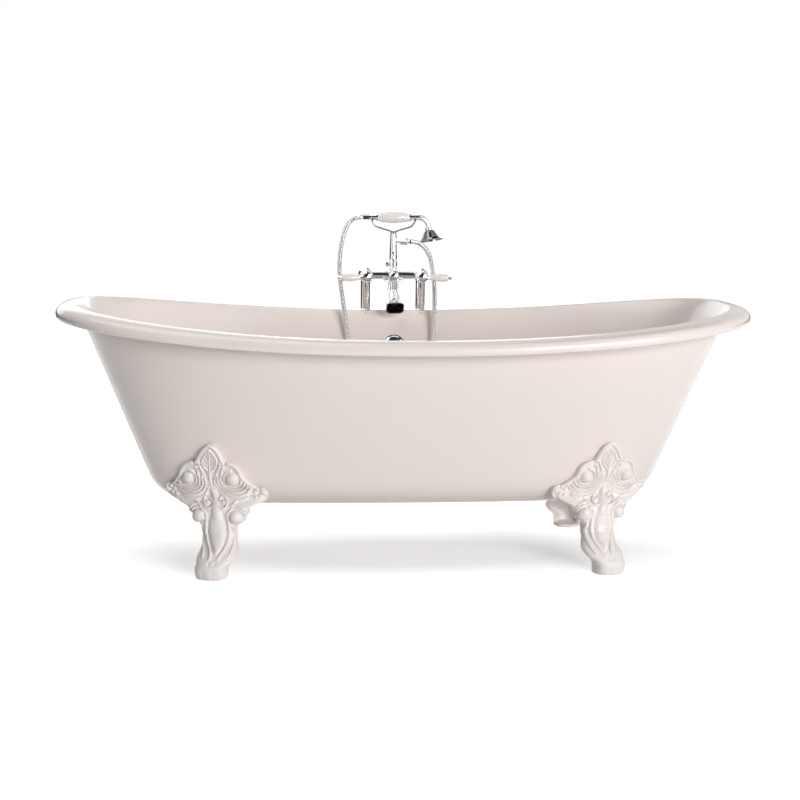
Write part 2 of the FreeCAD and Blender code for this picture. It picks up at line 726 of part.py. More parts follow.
keep("overflow_bezel", turned("overflow_bezel", (
    (d.spindle + d.run_clear, sleeve_length - 4), (d.overflow_sleeve - 3, sleeve_length - 4),
    (d.overflow_sleeve - 3, 0), (d.overflow_sleeve, 0), (d.overflow_sleeve, sleeve_length),
    (d.overflow_face, sleeve_length), (d.overflow_face, sleeve_length + 2),
    (d.overflow_face - 2, sleeve_length + 5), (d.overflow_face - 4, sleeve_length + 5),
    (d.overflow_face - 5, sleeve_length + 2), (d.spindle + d.run_clear, sleeve_length + 2)),
    along_overflow(face_start - overflow_in * sleeve_length.value), overflow_in))
keep("overflow_knob", turned("overflow_knob", (
    (0, 0), (d.overflow_face - 7, 0), (d.overflow_face - 6, 7), (d.overflow_face - 10, 10),
    (0, 11.5)), along_overflow(face_start + overflow_in * (2 + d.move_clear.value)), overflow_in))
spindle_length = as_size(24)
keep("overflow_spindle", turned("overflow_spindle", (
    (0, 0), (d.spindle, 0), (d.spindle, spindle_length), (0, spindle_length)),
    along_overflow(face_start + overflow_in * (2 + d.move_clear.value - spindle_length.value)), overflow_in))
keep("overflow_seal", turned("overflow_seal", (
    (d.overflow_sleeve + 0.3, 0), (d.overflow_face - 2, 0), (d.overflow_face - 2, d.seal_thick),
    (d.overflow_sleeve + 0.3, d.seal_thick)), along_overflow(elbow_start), overflow_in))

drum_radius = (d.overflow_face - 2).value
drum_length = 34.0
drum_back = 4.0
elbow_back = elbow_start - overflow_in * drum_length
elbow_axis = elbow_start - overflow_in * (drum_length / 2 + 4)
tail_y = elbow_axis.y
tail_out = d.overflow_tail.value
tail_in = (d.overflow_tail - d.overflow_tail_wall).value
tail_low = elbow_axis.z - drum_radius - d.overflow_tail_length.value


def elbow_shape():
    """Closed drum on the outside of the wall, with a tail below it for the hose to the drain."""
    drum = Part.makeCylinder(drum_radius, drum_length, elbow_back, overflow_in)
    tail = Part.makeCylinder(tail_out, elbow_axis.z - tail_low, V(0, tail_y, tail_low))
    groove_low = V(0, tail_y, tail_low + d.overflow_free.value)
    groove_width = d.groove_width.value
    groove = Part.makeCylinder(tail_out + 1, groove_width, groove_low)
    groove = groove.cut(Part.makeCylinder(tail_out - d.tail_groove.value, groove_width, groove_low))
    room = Part.makeCylinder((d.overflow_sleeve + 0.1).value, drum_length,
                             elbow_back + overflow_in * drum_back, overflow_in)
    bore = Part.makeCylinder(tail_in, elbow_axis.z - tail_low + 5, V(0, tail_y, tail_low - 5))
    return drum.fuse(tail).cut([room, bore, groove])


keep("overflow_elbow", made("overflow_elbow", elbow_shape()))


def lofted(sections):
    return Part.makeLoft(sections, False, True).Faces


def banded(sections):
    """Faces between each two sections in turn, which keep the sections' own starting points."""
    pairs = zip(sections, sections[1:])
    return [Part.makeRuledSurface(first.Edges[0], last.Edges[0]).Faces[0] for first, last in pairs]


def hollow_run(outer, inner, skinned=lofted):
    """Solid between two runs of closed sections that start and end in the same planes."""
    ends = ((outer[0], inner[0]), (outer[-1], inner[-1]))
    caps = [Part.Face(wide).cut(Part.Face(narrow)).Faces[0] for wide, narrow in ends]
    shell = Part.Shell(skinned(outer) + skinned(inner) + caps)
    shell.sewShape()
    solid = Part.Solid(shell)
    if solid.Volume < 0:
        solid.reverse()
    return solid


def rounded_path(points, radii):
    edges = []
    here = points[0]
    for i, radius in enumerate(radii):
        corner = points[i + 1]
        before = (corner - points[i]).normalize()
        after = (points[i + 2] - corner).normalize()
        turn = before.getAngle(after)
        trim = radius * math.tan(turn / 2)
        start = corner - before * trim
        end = corner + after * trim
        toward = (after - before).normalize()
        centre = corner + toward * (radius / math.cos(turn / 2))
        middle = centre - toward * radius
        edges.append(Part.LineSegment(here, start).toShape())
        edges.append(Part.Arc(start, middle, end).toShape())
        here = end
    edges.append(Part.LineSegment(here, points[-1]).toShape())
    return Part.Wire(edges)


def swept(path, radius):
    start = path.OrderedVertexes[0].Point
    tangent = path.OrderedEdges[0].tangentAt(path.OrderedEdges[0].FirstParameter)
    profile = Part.Wire([Part.makeCircle(radius, start, tangent)])
    return path.makePipeShell([profile], True, False)

# Pillars, with what clamps them to the rim.

washer_list = []
nut_list = []
for side, sign in (("left", -1), ("right", 1)):
    x = half_taps * sign
    keep(side + "_pillar", turned(side + "_pillar", (
        (d.pillar_bore, 0), (d.tail, 0), (d.tail, d.tail_free), (d.tail - d.tail_groove, d.tail_free),
        (d.tail - d.tail_groove, d.tail_free + d.groove_width), (d.tail, d.tail_free + d.groove_width),
        (d.tail, d.tail_length), (d.pillar_foot, d.tail_length),
        (d.pillar_foot, d.tail_length + 2), (d.pillar, d.tail_length + 4),
        (d.pillar, d.tail_length + d.pillar_height), (d.pillar_bore, d.tail_length + d.pillar_height)),
        (x, tap_y, seat_z - d.tail_length)))
    washer_list.append(turned("deck_washer_" + side, (
        (d.tail + 0.2, 0), (d.tail + 6, 0), (d.tail + 6, d.seal_thick), (d.tail + 0.2, d.seal_thick)),
        (x, tap_y, under_seat_z - d.seal_thick)))
    back_nut = hexagon("back_nut_hex_" + side, d.tail * 2 + 8, nut_high,
                       (x, tap_y, under_seat_z - d.seal_thick - nut_high))
    back_bore = rod("back_nut_bore_" + side, d.tail + 0.1, 60, (x, tap_y, under_seat_z - 50))
    nut_list.append(without("back_nut_" + side, back_nut, [back_bore]))
keep("deck_washers", group("deck_washers", washer_list))
keep("back_nuts", group("back_nuts", nut_list))

# Mixer body: bar, two valve chambers, middle chamber and neck.

solids = [rod("bar", d.bar_radius, d.tap_spacing, (-half_taps, tap_y, bar_z), RIGHT)]
bores = [rod("bar_way", d.bar_bore, d.tap_spacing, (-half_taps, tap_y, bar_z), RIGHT)]
for side, sign in (("left", -1), ("right", 1)):
    x = half_taps * sign
    solids.append(rod(side + "_chamber", d.valve, d.valve_front + d.valve_back,
                      (x, tap_y + d.valve_back, bar_z), FORWARD))
    solids.append(rod(side + "_socket", d.pillar, d.bar_height - d.pillar_height,
                      (x, tap_y, seat_z + d.pillar_height)))
    bores.append(rod(side + "_chamber_way", d.valve_bore, d.valve_front + d.valve_back,
                     (x, tap_y + d.valve_back - 4, bar_z), FORWARD))
    bores.append(rod(side + "_socket_way", d.pillar_bore, d.bar_height - d.pillar_height,
                     (x, tap_y, seat_z + d.pillar_height)))
solids.append(rod("middle_chamber", d.divert_chamber, d.divert_front + d.valve_back,
                  (0, tap_y + d.valve_back, bar_z), FORWARD))
bores.append(rod("middle_way", d.divert_chamber - 4, d.divert_front + d.valve_back,
                 (0, tap_y + d.valve_back - 4, bar_z), FORWARD))
solids.append(rod("neck_stem", d.neck, d.neck_top - d.bar_height, (0, tap_y, bar_z)))
bores.append(rod("neck_way", d.riser_bore, d.neck_top - d.bar_height + 1, (0, tap_y, bar_z)))
spout_root = as_size(15)
solids.append(rod("spout_stem", d.spout_neck, spout_root + 4, (0, tap_y - 8, bar_z - spout_root - 4)))
bores.append(rod("spout_stem_way", d.spout_neck - d.spout_wall, spout_root + 4,
                 (0, tap_y - 8, bar_z - spout_root - 4)))


def flare_ring(height, half_wide, half_deep, forward):
    """Level oval at a height over the bar's axis, standing forward of the pillars."""
    ring = Part.Ellipse(V(0, tap_y.value - forward, bar_z.value + height), half_wide, half_deep)
    return Part.Wire([ring.toShape()])


FLARE = ((20, 9.9, 9.8, 0), (13, 13, 10.2, 0), (8, 18, 10.4, 0), (4, 24, 10.2, 0), (0, 30, 10, 0),
         (-6, 25, 10.6, 2), (-12, 19, 12, 5), (-19, 13.7, 13.6, 8))
flare = Part.makeLoft([flare_ring(*row) for row in FLARE], True, False)
solids.append(made("body_flare", flare))
keep("mixer_body", without("mixer_body", fused("mixer_solid", solids), bores))


def spout_section(out, drop, wide, tall, pitch, power):
    """Closed section of the spout, centred ahead of and below its stem, facing down by a pitch."""
    centre = V(0, tap_y.value - out, bar_z.value - drop)
    a = math.radians(pitch)
    across = RIGHT
    over = V(0, -math.sin(a), math.cos(a))
    points = []
    for i in range(24):
        t = 2 * math.pi * i / 24
        c = math.cos(t)
        s = math.sin(t)
        k = (abs(c) ** power + abs(s) ** power) ** (1 / power)
        points.append(centre + across * (wide / 2 * c / k) + over * (tall / 2 * s / k))
    return closed_curve(points)


def spout_rings(shrink):
    """Sections of the spout from its stem to its mouth, each drawn in by a wall thickness."""
    neck = 2 * (d.spout_neck.value - shrink)
    wide = d.spout_width.value - 2 * shrink
    tall = d.spout_tall.value - 2 * shrink
    reach = d.spout_reach.value
    drop = d.spout_drop.value
    root = spout_root.value + 4
    sections = []
    for share, pitch, power in ((0, 90, 2), (0.25, 86, 2), (0.5, 76, 2.2), (0.72, 62, 2.6),
                                (0.88, 46, 3.2), (1, 34, 4)):
        out = 8 + (reach - 8) * share ** 1.9
        down = root + (drop - root) * math.sin(share * math.pi / 2) ** 1.05
        wider = share ** 1.3
        sections.append(spout_section(out, down, neck + (wide - neck) * wider,
                                      neck + (tall - neck) * wider, pitch, power))
    return sections


keep("spout", made("spout", hollow_run(spout_rings(0), spout_rings(d.spout_wall.value), banded)))

# Valve bonnets, spindles and levers. A lever turns about its valve's axis.

lever_out = d.valve_front + d.bonnet + d.move_clear
arm_y = tap_y - lever_out - 15.5
spindle_start = d.valve_front - 12
stud_length = d.lever_start + d.grip_length + 4

for side, sign, along in (("left", -1, LEFT), ("right", 1, RIGHT)):
    x = half_taps * sign
    keep(side + "_bonnet", turned(side + "_bonnet", (
        (d.spindle + d.run_clear, 0), (d.valve - 1, 0), (d.valve - 1, 5), (d.valve - 5, 9),
        (d.hub - 1, 13), (d.hub - 1, d.bonnet), (d.spindle + d.run_clear, d.bonnet)),
        (x, tap_y - d.valve_front, bar_z), FORWARD))
    keep(side + "_spindle", turned(side + "_spindle", (
        (0, 0), (d.spindle, 0), (d.spindle, lever_out - spindle_start + d.hub_length - 6),
        (0, lever_out - spindle_start + d.hub_length - 6)),
        (x, tap_y - spindle_start, bar_z), FORWARD))
    arm_z = bar_z - d.lever_drop
    hub_body = rod(side + "_hub", d.hub, d.hub_length, (x, tap_y - lever_out, bar_z), FORWARD)
    neck_body = taper(side + "_lever_neck", d.hub - 3.5, d.hub - 5.5, d.lever_start,
                      (x, arm_y, arm_z), along)
    stud_body = rod(side + "_stud", d.stud, stud_length, (x, arm_y, arm_z), along)
    hub_way = rod(side + "_hub_way", d.spindle, d.hub_length - 6, (x, tap_y - lever_out, bar_z), FORWARD)
    arm = fused(side + "_arm_solid", [hub_body, neck_body, stud_body])
    keep(side + "_lever_arm", without(side + "_lever_arm", arm, [hub_way]))
    reach = x + d.lever_start * sign
    thick = d.grip_thick
    keep(side + "_lever_grip", turned(side + "_lever_grip", (
        (d.stud + d.stud_clear, 0), (d.hub - 5.2, 0), (thick - 1.6, d.grip_length * 0.42, 0.9),
        (thick - 1.4, d.grip_length * 0.8, 1.4), (thick - 4.6, d.grip_length),
        (d.stud + d.stud_clear, d.grip_length)), (reach, arm_y, arm_z), along))
    end = x + (d.lever_start + d.grip_length) * sign
    keep(side + "_lever_tip", turned(side + "_lever_tip", (
        (0, 4.5), (d.stud + d.stud_clear, 4.5), (d.stud + d.stud_clear, 0), (thick - 4.6, 0),
        (thick - 4.2, 3), (thick - 6, 6), (thick - 7.5, d.lever_tip - 1), (0, d.lever_tip)),
        (end, arm_y, arm_z), along))
    keep(side + "_lever_cap", turned(side + "_lever_cap", (
        (0, 0), (d.hub - 2, 0), (d.hub - 2, 1.5), (0, 3.5)),
        (x, tap_y - lever_out - d.hub_length, bar_z), FORWARD))

# Diverter on the front of the mixer, its lever hanging over the spout.

divert_out = d.divert_front + d.divert_bonnet + d.move_clear
divert_hub = as_size(11)
keep("diverter_bonnet", turned("diverter_bonnet", (
    (d.divert_spindle + d.run_clear, 0), (d.divert_chamber - 1, 0), (d.divert_chamber - 1, 4),
    (d.divert_chamber - 5, d.divert_bonnet), (d.divert_spindle + d.run_clear, d.divert_bonnet)),
    (0, tap_y - d.divert_front, bar_z), FORWARD))
divert_parts = [
    rod("diverter_spindle", d.divert_spindle, d.divert_bonnet + d.move_clear + divert_hub + 10,
        (0, tap_y - d.divert_front + 10, bar_z), FORWARD),
    rod("diverter_hub", d.divert_chamber - 5, divert_hub, (0, tap_y - divert_out, bar_z), FORWARD),
    taper("diverter_arm", d.divert_spindle, d.divert_spindle + 1, d.divert_lever - 6,
          (0, tap_y - divert_out - divert_hub / 2, bar_z), V(0, 0, -1)),
    ball("diverter_knob", d.divert_spindle + 2.2,
         (0, tap_y - divert_out - divert_hub / 2, bar_z - d.divert_lever + 6)),
]
keep("diverter_lever", fused("diverter_lever", divert_parts))
keep("diverter_cap", turned("diverter_cap", (
    (0, 0), (d.divert_chamber - 6.5, 0), (d.divert_chamber - 6.5, 1), (0, 2.5)),
    (0, tap_y - divert_out - divert_hub, bar_z), FORWARD))

# Riser: collar with its clamp knob, tapered column, hose outlet and cradle.

collar_z = seat_z + d.neck_top
riser_z = collar_z + d.collar_height
riser_top = riser_z + d.riser_height
knob_stem = as_size(2.5)
collar_ring = turned("collar_ring", (
    (d.riser_spigot, 0), (d.collar - 1, 0), (d.collar, 1.5), (d.collar, d.collar_height - 1.5),
    (d.collar - 1, d.collar_height), (d.riser_spigot, d.collar_height)), (0, tap_y, collar_z))
collar_hole = rod("collar_hole", knob_stem + d.run_clear, 30,
                  (0, tap_y, collar_z + d.collar_height / 2), LEFT)
keep("riser_collar", without("riser_collar", collar_ring, [collar_hole]))
collar_wall = d.collar - d.riser_spigot
keep("riser_clamp_knob", turned("riser_clamp_knob", (
    (0, 0), (knob_stem, 0), (knob_stem, collar_wall + 0.3), (5, collar_wall + 0.3), (7.5, collar_wall + 3),
    (7.5, collar_wall + 8), (5.5, collar_wall + 10), (0, collar_wall + 10)),
    (-d.riser_spigot - 0.3, tap_y, collar_z + d.collar_height / 2), LEFT))

outlet_angle = math.radians(d.outlet_turn.value)
outlet_way = V(math.cos(outlet_angle), -math.sin(outlet_angle), 0)
outlet_z = seat_z + d.outlet_height
outlet_cos = as_size(math.cos(outlet_angle))
outlet_sin = as_size(math.sin(outlet_angle))


def on_outlet(distance):
    """Bound point on the hose outlet's axis."""
    return (outlet_cos * distance, tap_y - outlet_sin * distance, outlet_z)


screw_z = riser_z + 22
column = turned("riser_column", (
    (d.riser_bore, 0), (d.riser_spigot, 0), (d.riser_spigot, d.collar_height),
    (d.riser_foot, d.collar_height), (d.riser_foot, d.collar_height + 3),
    (d.riser_foot - 1, d.collar_height + 6), (d.riser_head, d.collar_height + d.riser_height - 4),
    (d.riser_head, d.collar_height + d.riser_height), (0, d.collar_height + d.riser_height),
    (0, d.collar_height + d.riser_height - 6), (d.riser_bore, d.collar_height + d.riser_height - 9)),
    (0, tap_y, collar_z))
outlet_hole = rod("riser_outlet_hole", d.outlet, 30, on_outlet(d.outlet_start), outlet_way)
outlet_feed = rod("riser_outlet_feed", d.outlet - 2.5, 8, on_outlet(0), outlet_way)
screw_hole = rod("riser_screw_hole", 2.2, 30, (0, tap_y - 7, screw_z), FORWARD)
keep("riser", without("riser", column, [outlet_hole, outlet_feed, screw_hole]))
keep("cradle_screw", turned("cradle_screw", (
    (0, 0), (2.2, 0), (2.2, 4.4), (6, 4.4), (6, 6), (4.5, 8), (0, 8.5)),
    (0, tap_y - 7, screw_z), FORWARD))

keep("hose_outlet", turned("hose_outlet", (
    (d.outlet - 2.5, 0), (d.outlet, 0), (d.outlet, d.outlet_length - d.outlet_start + 7),
    (d.outlet - 2.5, d.outlet_length - d.outlet_start + 7)), on_outlet(d.outlet_start), outlet_way))
outlet_end = d.outlet_start + d.outlet_length
outlet_hex = hexagon("outlet_nut_hex", d.nut_flats, d.nut_length, on_outlet(outlet_end), outlet_way)
outlet_nut_way = rod("outlet_nut_way", d.hose_bore, 60, on_outlet(outlet_end - 10), outlet_way)
keep("outlet_hose_nut", without("outlet_hose_nut", outlet_hex, [outlet_nut_way]))

handset_z = seat_z + d.handset_height


def cradle_shape():
    y = tap_y.value
    rod_radius = d.cradle_rod.value
    half = d.cradle_half.value
    ring = d.handset_tube.value + d.move_clear.value + rod_radius
    base_z = riser_top.value
    disc = Part.makeCylinder(d.cradle_disc.value, d.cradle_disc_height.value, V(0, y, base_z))
    low = handset_z.value - ring
    pieces = []
    for sign in (-1, 1):
        arm = [V(sign * 3, y, base_z + 3), V(sign * (half - 9), y, low - 13), V(sign * half, y, low)]
        path = rounded_path(arm, [14])
        pieces.append(swept(path, rod_radius))
        hook = Part.makeTorus(ring, rod_radius, V(0, 0, 0), UP, -180, 180, 180)
        hook.Placement = FreeCAD.Placement(V(sign * half, y, handset_z.value), hook_turn())
        pieces.append(hook)
        for tip in (-1, 1):
            tip_spot = V(sign * half, y + tip * (ring + 0.2), handset_z.value)
            pieces.append(Part.makeSphere(rod_radius + 0.3, tip_spot))
    return disc.fuse(pieces)


def hook_turn():
    """Turns a half ring from the ground plane to a cradle hook that opens upward."""
    return FreeCAD.Rotation(V(0, -1, 0), V(0, 0, -1), V(1, 0, 0), "XYZ")


keep("cradle_fork", made("cradle_fork", cradle_shape()))

# Handset: tail, grip, neck and rose on one tube. It lies in the cradle along X.

tail_length = d.tail_end - d.grip_half - d.grip_collar
keep("handset_tail", turned("handset_tail", (
    (d.handset_bore, 0), (d.handset_tube - 0.5, 0), (d.handset_tube - 0.5, tail_length),
    (d.handset_bore, tail_length)),
    (-d.tail_end, tap_y, handset_z), RIGHT))
collar_list = []
for number, start in enumerate((-d.grip_half - d.grip_collar, d.grip_half)):
    collar_list.append(turned("grip_collar_%d" % number, (
        (d.handset_bore, 0), (d.grip_collar_radius, 0), (d.grip_collar_radius, d.grip_collar),
        (d.handset_bore, d.grip_collar)), (start, tap_y, handset_z), RIGHT))
keep("grip_collars", group("grip_collars", collar_list))
keep("handset_core", turned("handset_core", (
    (d.handset_bore, 0), (d.handset_core, 0), (d.handset_core, d.grip_half * 2),
    (d.handset_bore, d.grip_half * 2)), (-d.grip_half, tap_y, handset_z), RIGHT))
keep("handset_grip", turned("handset_grip", (
    (d.handset_core + d.core_clear, 0), (d.grip_end, 0, d.grip_middle - d.grip_end),
    (d.grip_end, d.grip_half * 2), (d.handset_core + d.core_clear, d.grip_half * 2)),
    (-d.grip_half, tap_y, handset_z), RIGHT))

bend = math.radians(d.bend_turn.value)
neck_start = (d.grip_half + d.grip_collar).value
bend_end = V(d.bend_start.value + d.bend_radius.value * math.sin(bend), tap_y.value,
             handset_z.value - d.bend_radius.value * (1 - math.cos(bend)))
rose_way = V(math.cos(bend), 0, -math.sin(bend))


def neck_shape():
    y = tap_y.value
    z = handset_z.value
    start = V(d.bend_start.value, y, z)
    centre = start - V(0, 0, d.bend_radius.value)
    half = bend / 2
    middle = centre + V(math.sin(half), 0, math.cos(half)) * d.bend_radius.value
    path = Part.Wire([Part.LineSegment(V(neck_start, y, z), start).toShape(),
                      Part.Arc(start, middle, bend_end).toShape()])
    return swept(path, d.handset_tube.value).cut(swept(path, d.handset_bore.value))


keep("handset_neck", made("handset_neck", neck_shape()))

bend_sin = as_size(math.sin(bend))
bend_cos = as_size(math.cos(bend))


def on_rose(distance):
    """Bound point on the rose's axis, measured from the end of the neck."""
    return (d.bend_start + d.bend_radius * bend_sin + bend_cos * distance, tap_y,
            handset_z - d.bend_radius * (1 - bend_cos) - bend_sin * distance)


keep("rose_nut", turned("rose_nut", (
    (d.handset_bore, 0), (d.rose_nut, 0), (d.rose_nut, d.rose_nut_length - 2),
    (d.rose_nut - 1.5, d.rose_nut_length), (d.handset_bore, d.rose_nut_length)), on_rose(0), rose_way))
bell_in = d.rose - d.rose_wall
bell_height = d.rose_height - d.rose_nut_length
BELL_OUTSIDE = ((0.36, 0), (0.41, 0.05), (0.67, 0.6), (0.82, 0.77), (1, 0.86), (1, 1))
BELL_INSIDE = ((0.76, 0.8), (0.6, 0.625), (0.345, 0.12))
bell = [(d.handset_bore, 0)]
bell += [(d.rose * out, bell_height * down) for out, down in BELL_OUTSIDE]
bell += [(bell_in, bell_height), (bell_in, bell_height - d.rose_plate - 1)]
bell += [(d.rose * out, bell_height * down) for out, down in BELL_INSIDE]
bell += [(d.handset_bore, bell_height * BELL_INSIDE[-1][1])]
keep("rose_bell", turned("rose_bell", bell, on_rose(d.rose_nut_length), rose_way))


def plate_body():
    """Spray plate: a turned disc with rings of holes."""
    body = turned("rose_plate", (
        (0, 0), (bell_in - 0.1, 0), (bell_in - 0.1, d.rose_plate), (0, d.rose_plate + 1)),
        on_rose(d.rose_height - d.rose_plate - 0.4), rose_way)
    doc.recompute()
    last = body.Tip
    for number, (share, count) in enumerate(((0.26, 6), (0.5, 12), (0.76, 18))):
        sketch = body.newObject("Sketcher::SketchObject", "spray_sketch_%d" % number)
        sketch.AttachmentSupport = [(plane(body, "XY_Plane"), "")]
        sketch.MapMode = "FlatFace"
        circle = sketch.addGeometry(Part.Circle(V(share * d.rose.value, 0, 0), UP, d.rose_hole.value), False)
        sketch.addConstraint(Sketcher.Constraint("PointOnObject", circle, 3, -1))
        from_middle = Sketcher.Constraint("DistanceX", -1, 1, circle, 3, share * d.rose.value)
        across = sketch.addConstraint(from_middle)
        sketch.setExpression("Constraints[%d]" % across, (d.rose * share).text)
        wide = sketch.addConstraint(Sketcher.Constraint("Radius", circle, d.rose_hole.value))
        sketch.setExpression("Constraints[%d]" % wide, d.rose_hole.text)
        pocket = body.newObject("PartDesign::Pocket", "spray_hole_%d" % number)
        pocket.Profile = sketch
        pocket.Type = 1
        pocket.Midplane = True
        doc.recompute()
        pattern = body.newObject("PartDesign::PolarPattern", "spray_ring_%d" % number)
        pattern.Originals = [pocket]
        pattern.Axis = (sketch, ["N_Axis"])
        pattern.Angle = 360
        pattern.Occurrences = count
        body.Tip = pattern
        doc.recompute()
    return body


keep("rose_plate", plate_body())

handset_hex = hexagon("handset_nut_hex", d.nut_flats, d.nut_length + 1, (-d.tail_end, tap_y, handset_z), LEFT)
handset_nut_way = rod("handset_nut_way", d.hose_bore, 60, (-d.tail_end + 10, tap_y, handset_z), LEFT)
keep("handset_hose_nut", without("handset_hose_nut", handset_hex, [handset_nut_way]))

# Shower hose: from the handset's nut down into the bath and up to the outlet's nut.

hose_start = V(-(d.tail_end + d.nut_length + 1).value, tap_y.value, handset_z.value)
hose_end = V(*[float(c) for c in on_outlet(outlet_end + d.nut_length)])
HOSE_MIDDLE = (
    (-130, 357, 800), (-141, 347, 765), (-148, 333, 718), (-148, 323, 665), (-137, 318, 598),
    (-125, 302, 500), (-116, 262, 402), (-92, 229, 322), (-32, 213, 284), (38, 213, 284), (86, 230, 326),
    (99, 265, 410), (104, 303, 503), (111, 319, 600), (108, 321, 660), (102, 322, 694), (96, 323, 727),
    (81, 325, 752),
)


def hose_points():
    """Route of the hose, square to its two nuts at the ends."""
    first = hose_start + LEFT * (4 * d.hose.value)
    last = hose_end + outlet_way * (4 * d.hose.value)
    return [hose_start, first] + [V(*p) for p in HOSE_MIDDLE] + [last, hose_end]


def hose_path():
    points = hose_points()
    radii = []
    for i in range(1, len(points) - 1):
        before = points[i] - points[i - 1]
        after = points[i + 1] - points[i]
        turn = before.getAngle(after)
        radii.append(0.45 * min(before.Length, after.Length) / math.tan(turn / 2))
    print("hose bend radii", " ".join("%.0f" % r for r in radii))
    return rounded_path(points, radii)


def steady_frames(path, distances):
    """Point, tangent and steady side direction at each distance along a path."""
    edges = path.OrderedEdges
    frames = []
    side = V(0, 1, 0)
    edge_number = 0
    passed = 0.0
    for distance in distances:
        while edge_number < len(edges) - 1 and distance > passed + edges[edge_number].Length:
            passed += edges[edge_number].Length
            edge_number += 1
        edge = edges[edge_number]
        here = min(max(distance - passed, 0.0), edge.Length)
        parameter = edge.getParameterByLength(here)
        tangent = edge.tangentAt(parameter).normalize()
        side = (side - tangent * side.dot(tangent)).normalize()
        frames.append((edge.valueAt(parameter), tangent, V(side)))
    return frames


def hose_circle(frame, radius):
    spot, tangent, side = frame
    circle = Part.Circle(spot, tangent, radius)
    circle.XAxis = side
    return Part.Wire([circle.toShape()])


def hose_shape():
    path = hose_path()
    length = path.Length
    ribs = int(d.hose_ribs.value)
    ends = 2 * d.hose.value
    pitch = (length - 2 * ends) / ribs
    rings = [(0.0, d.hose.value)]
    for i in range(ribs):
        start = ends + i * pitch
        rings.append((start, d.hose_valley.value))
        rings.append((start + 0.25 * pitch, d.hose.value))
        rings.append((start + 0.7 * pitch, d.hose.value))
        rings.append((start + 0.95 * pitch, d.hose_valley.value))
    rings.append((length - ends, d.hose.value))
    rings.append((length, d.hose.value))
    frames = steady_frames(path, [r[0] for r in rings])
    outer = [hose_circle(f, r[1]) for f, r in zip(frames, rings)]
    inner = [hose_circle(f, d.hose_bore.value) for f in frames[::4] + frames[-1:]]
    solid = hollow_run(outer, inner)
    area = math.pi * (d.hose.value ** 2 - d.hose_bore.value ** 2)
    print("hose length %.0f mm, volume over plain tube %.3f" % (length, solid.Volume / (area * length)))
    return solid


keep("hose", made("hose", hose_shape()))

# Every object is checked before any file is written.

doc.recompute()
bad = []
for thing in doc.Objects:
    if "Invalid" in thing.State or "Error" in thing.State:
        bad.append("%s %s" % (thing.Name, thing.State))
for node, thing in nodes.items():
    shape = thing.Shape
    if shape.isNull() or not shape.isValid() or not shape.Solids:
        bad.append("%s has no valid shape" % node)
if bad:
    raise RuntimeError("; ".join(bad))

os.makedirs("parts", exist_ok=True)
for node, thing in nodes.items():
    thing.Shape.exportStep("parts/%s.step" % node)
print("%d sub-parts written" % len(nodes))
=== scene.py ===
import json
import math

import bpy
import numpy as np
from mathutils import Matrix, Vector


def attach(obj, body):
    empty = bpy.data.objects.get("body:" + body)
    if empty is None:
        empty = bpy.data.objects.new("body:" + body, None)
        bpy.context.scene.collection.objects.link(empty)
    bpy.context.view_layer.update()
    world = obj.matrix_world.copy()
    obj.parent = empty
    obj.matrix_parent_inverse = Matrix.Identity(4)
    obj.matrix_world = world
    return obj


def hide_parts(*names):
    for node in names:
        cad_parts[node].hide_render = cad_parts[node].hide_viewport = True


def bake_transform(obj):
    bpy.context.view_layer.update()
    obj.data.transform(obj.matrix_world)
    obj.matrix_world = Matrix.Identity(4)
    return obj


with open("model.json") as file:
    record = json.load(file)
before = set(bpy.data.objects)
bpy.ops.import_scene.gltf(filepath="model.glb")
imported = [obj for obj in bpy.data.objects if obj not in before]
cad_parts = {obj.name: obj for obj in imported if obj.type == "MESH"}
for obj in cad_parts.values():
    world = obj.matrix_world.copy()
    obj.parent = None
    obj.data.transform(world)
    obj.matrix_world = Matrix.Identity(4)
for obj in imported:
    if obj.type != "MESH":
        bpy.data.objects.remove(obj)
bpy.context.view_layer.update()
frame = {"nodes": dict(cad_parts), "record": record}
nodes = frame["nodes"]
slot_of = {s["node"]: s["material_slot"] for s in frame["record"]["subparts"]}


# Shader graphs

WHITE = (1, 1, 1, 1)
SPECK_SHARE = 0.08
SPOT_SHARE = 0.5
EVEN_SHARE = 0.5


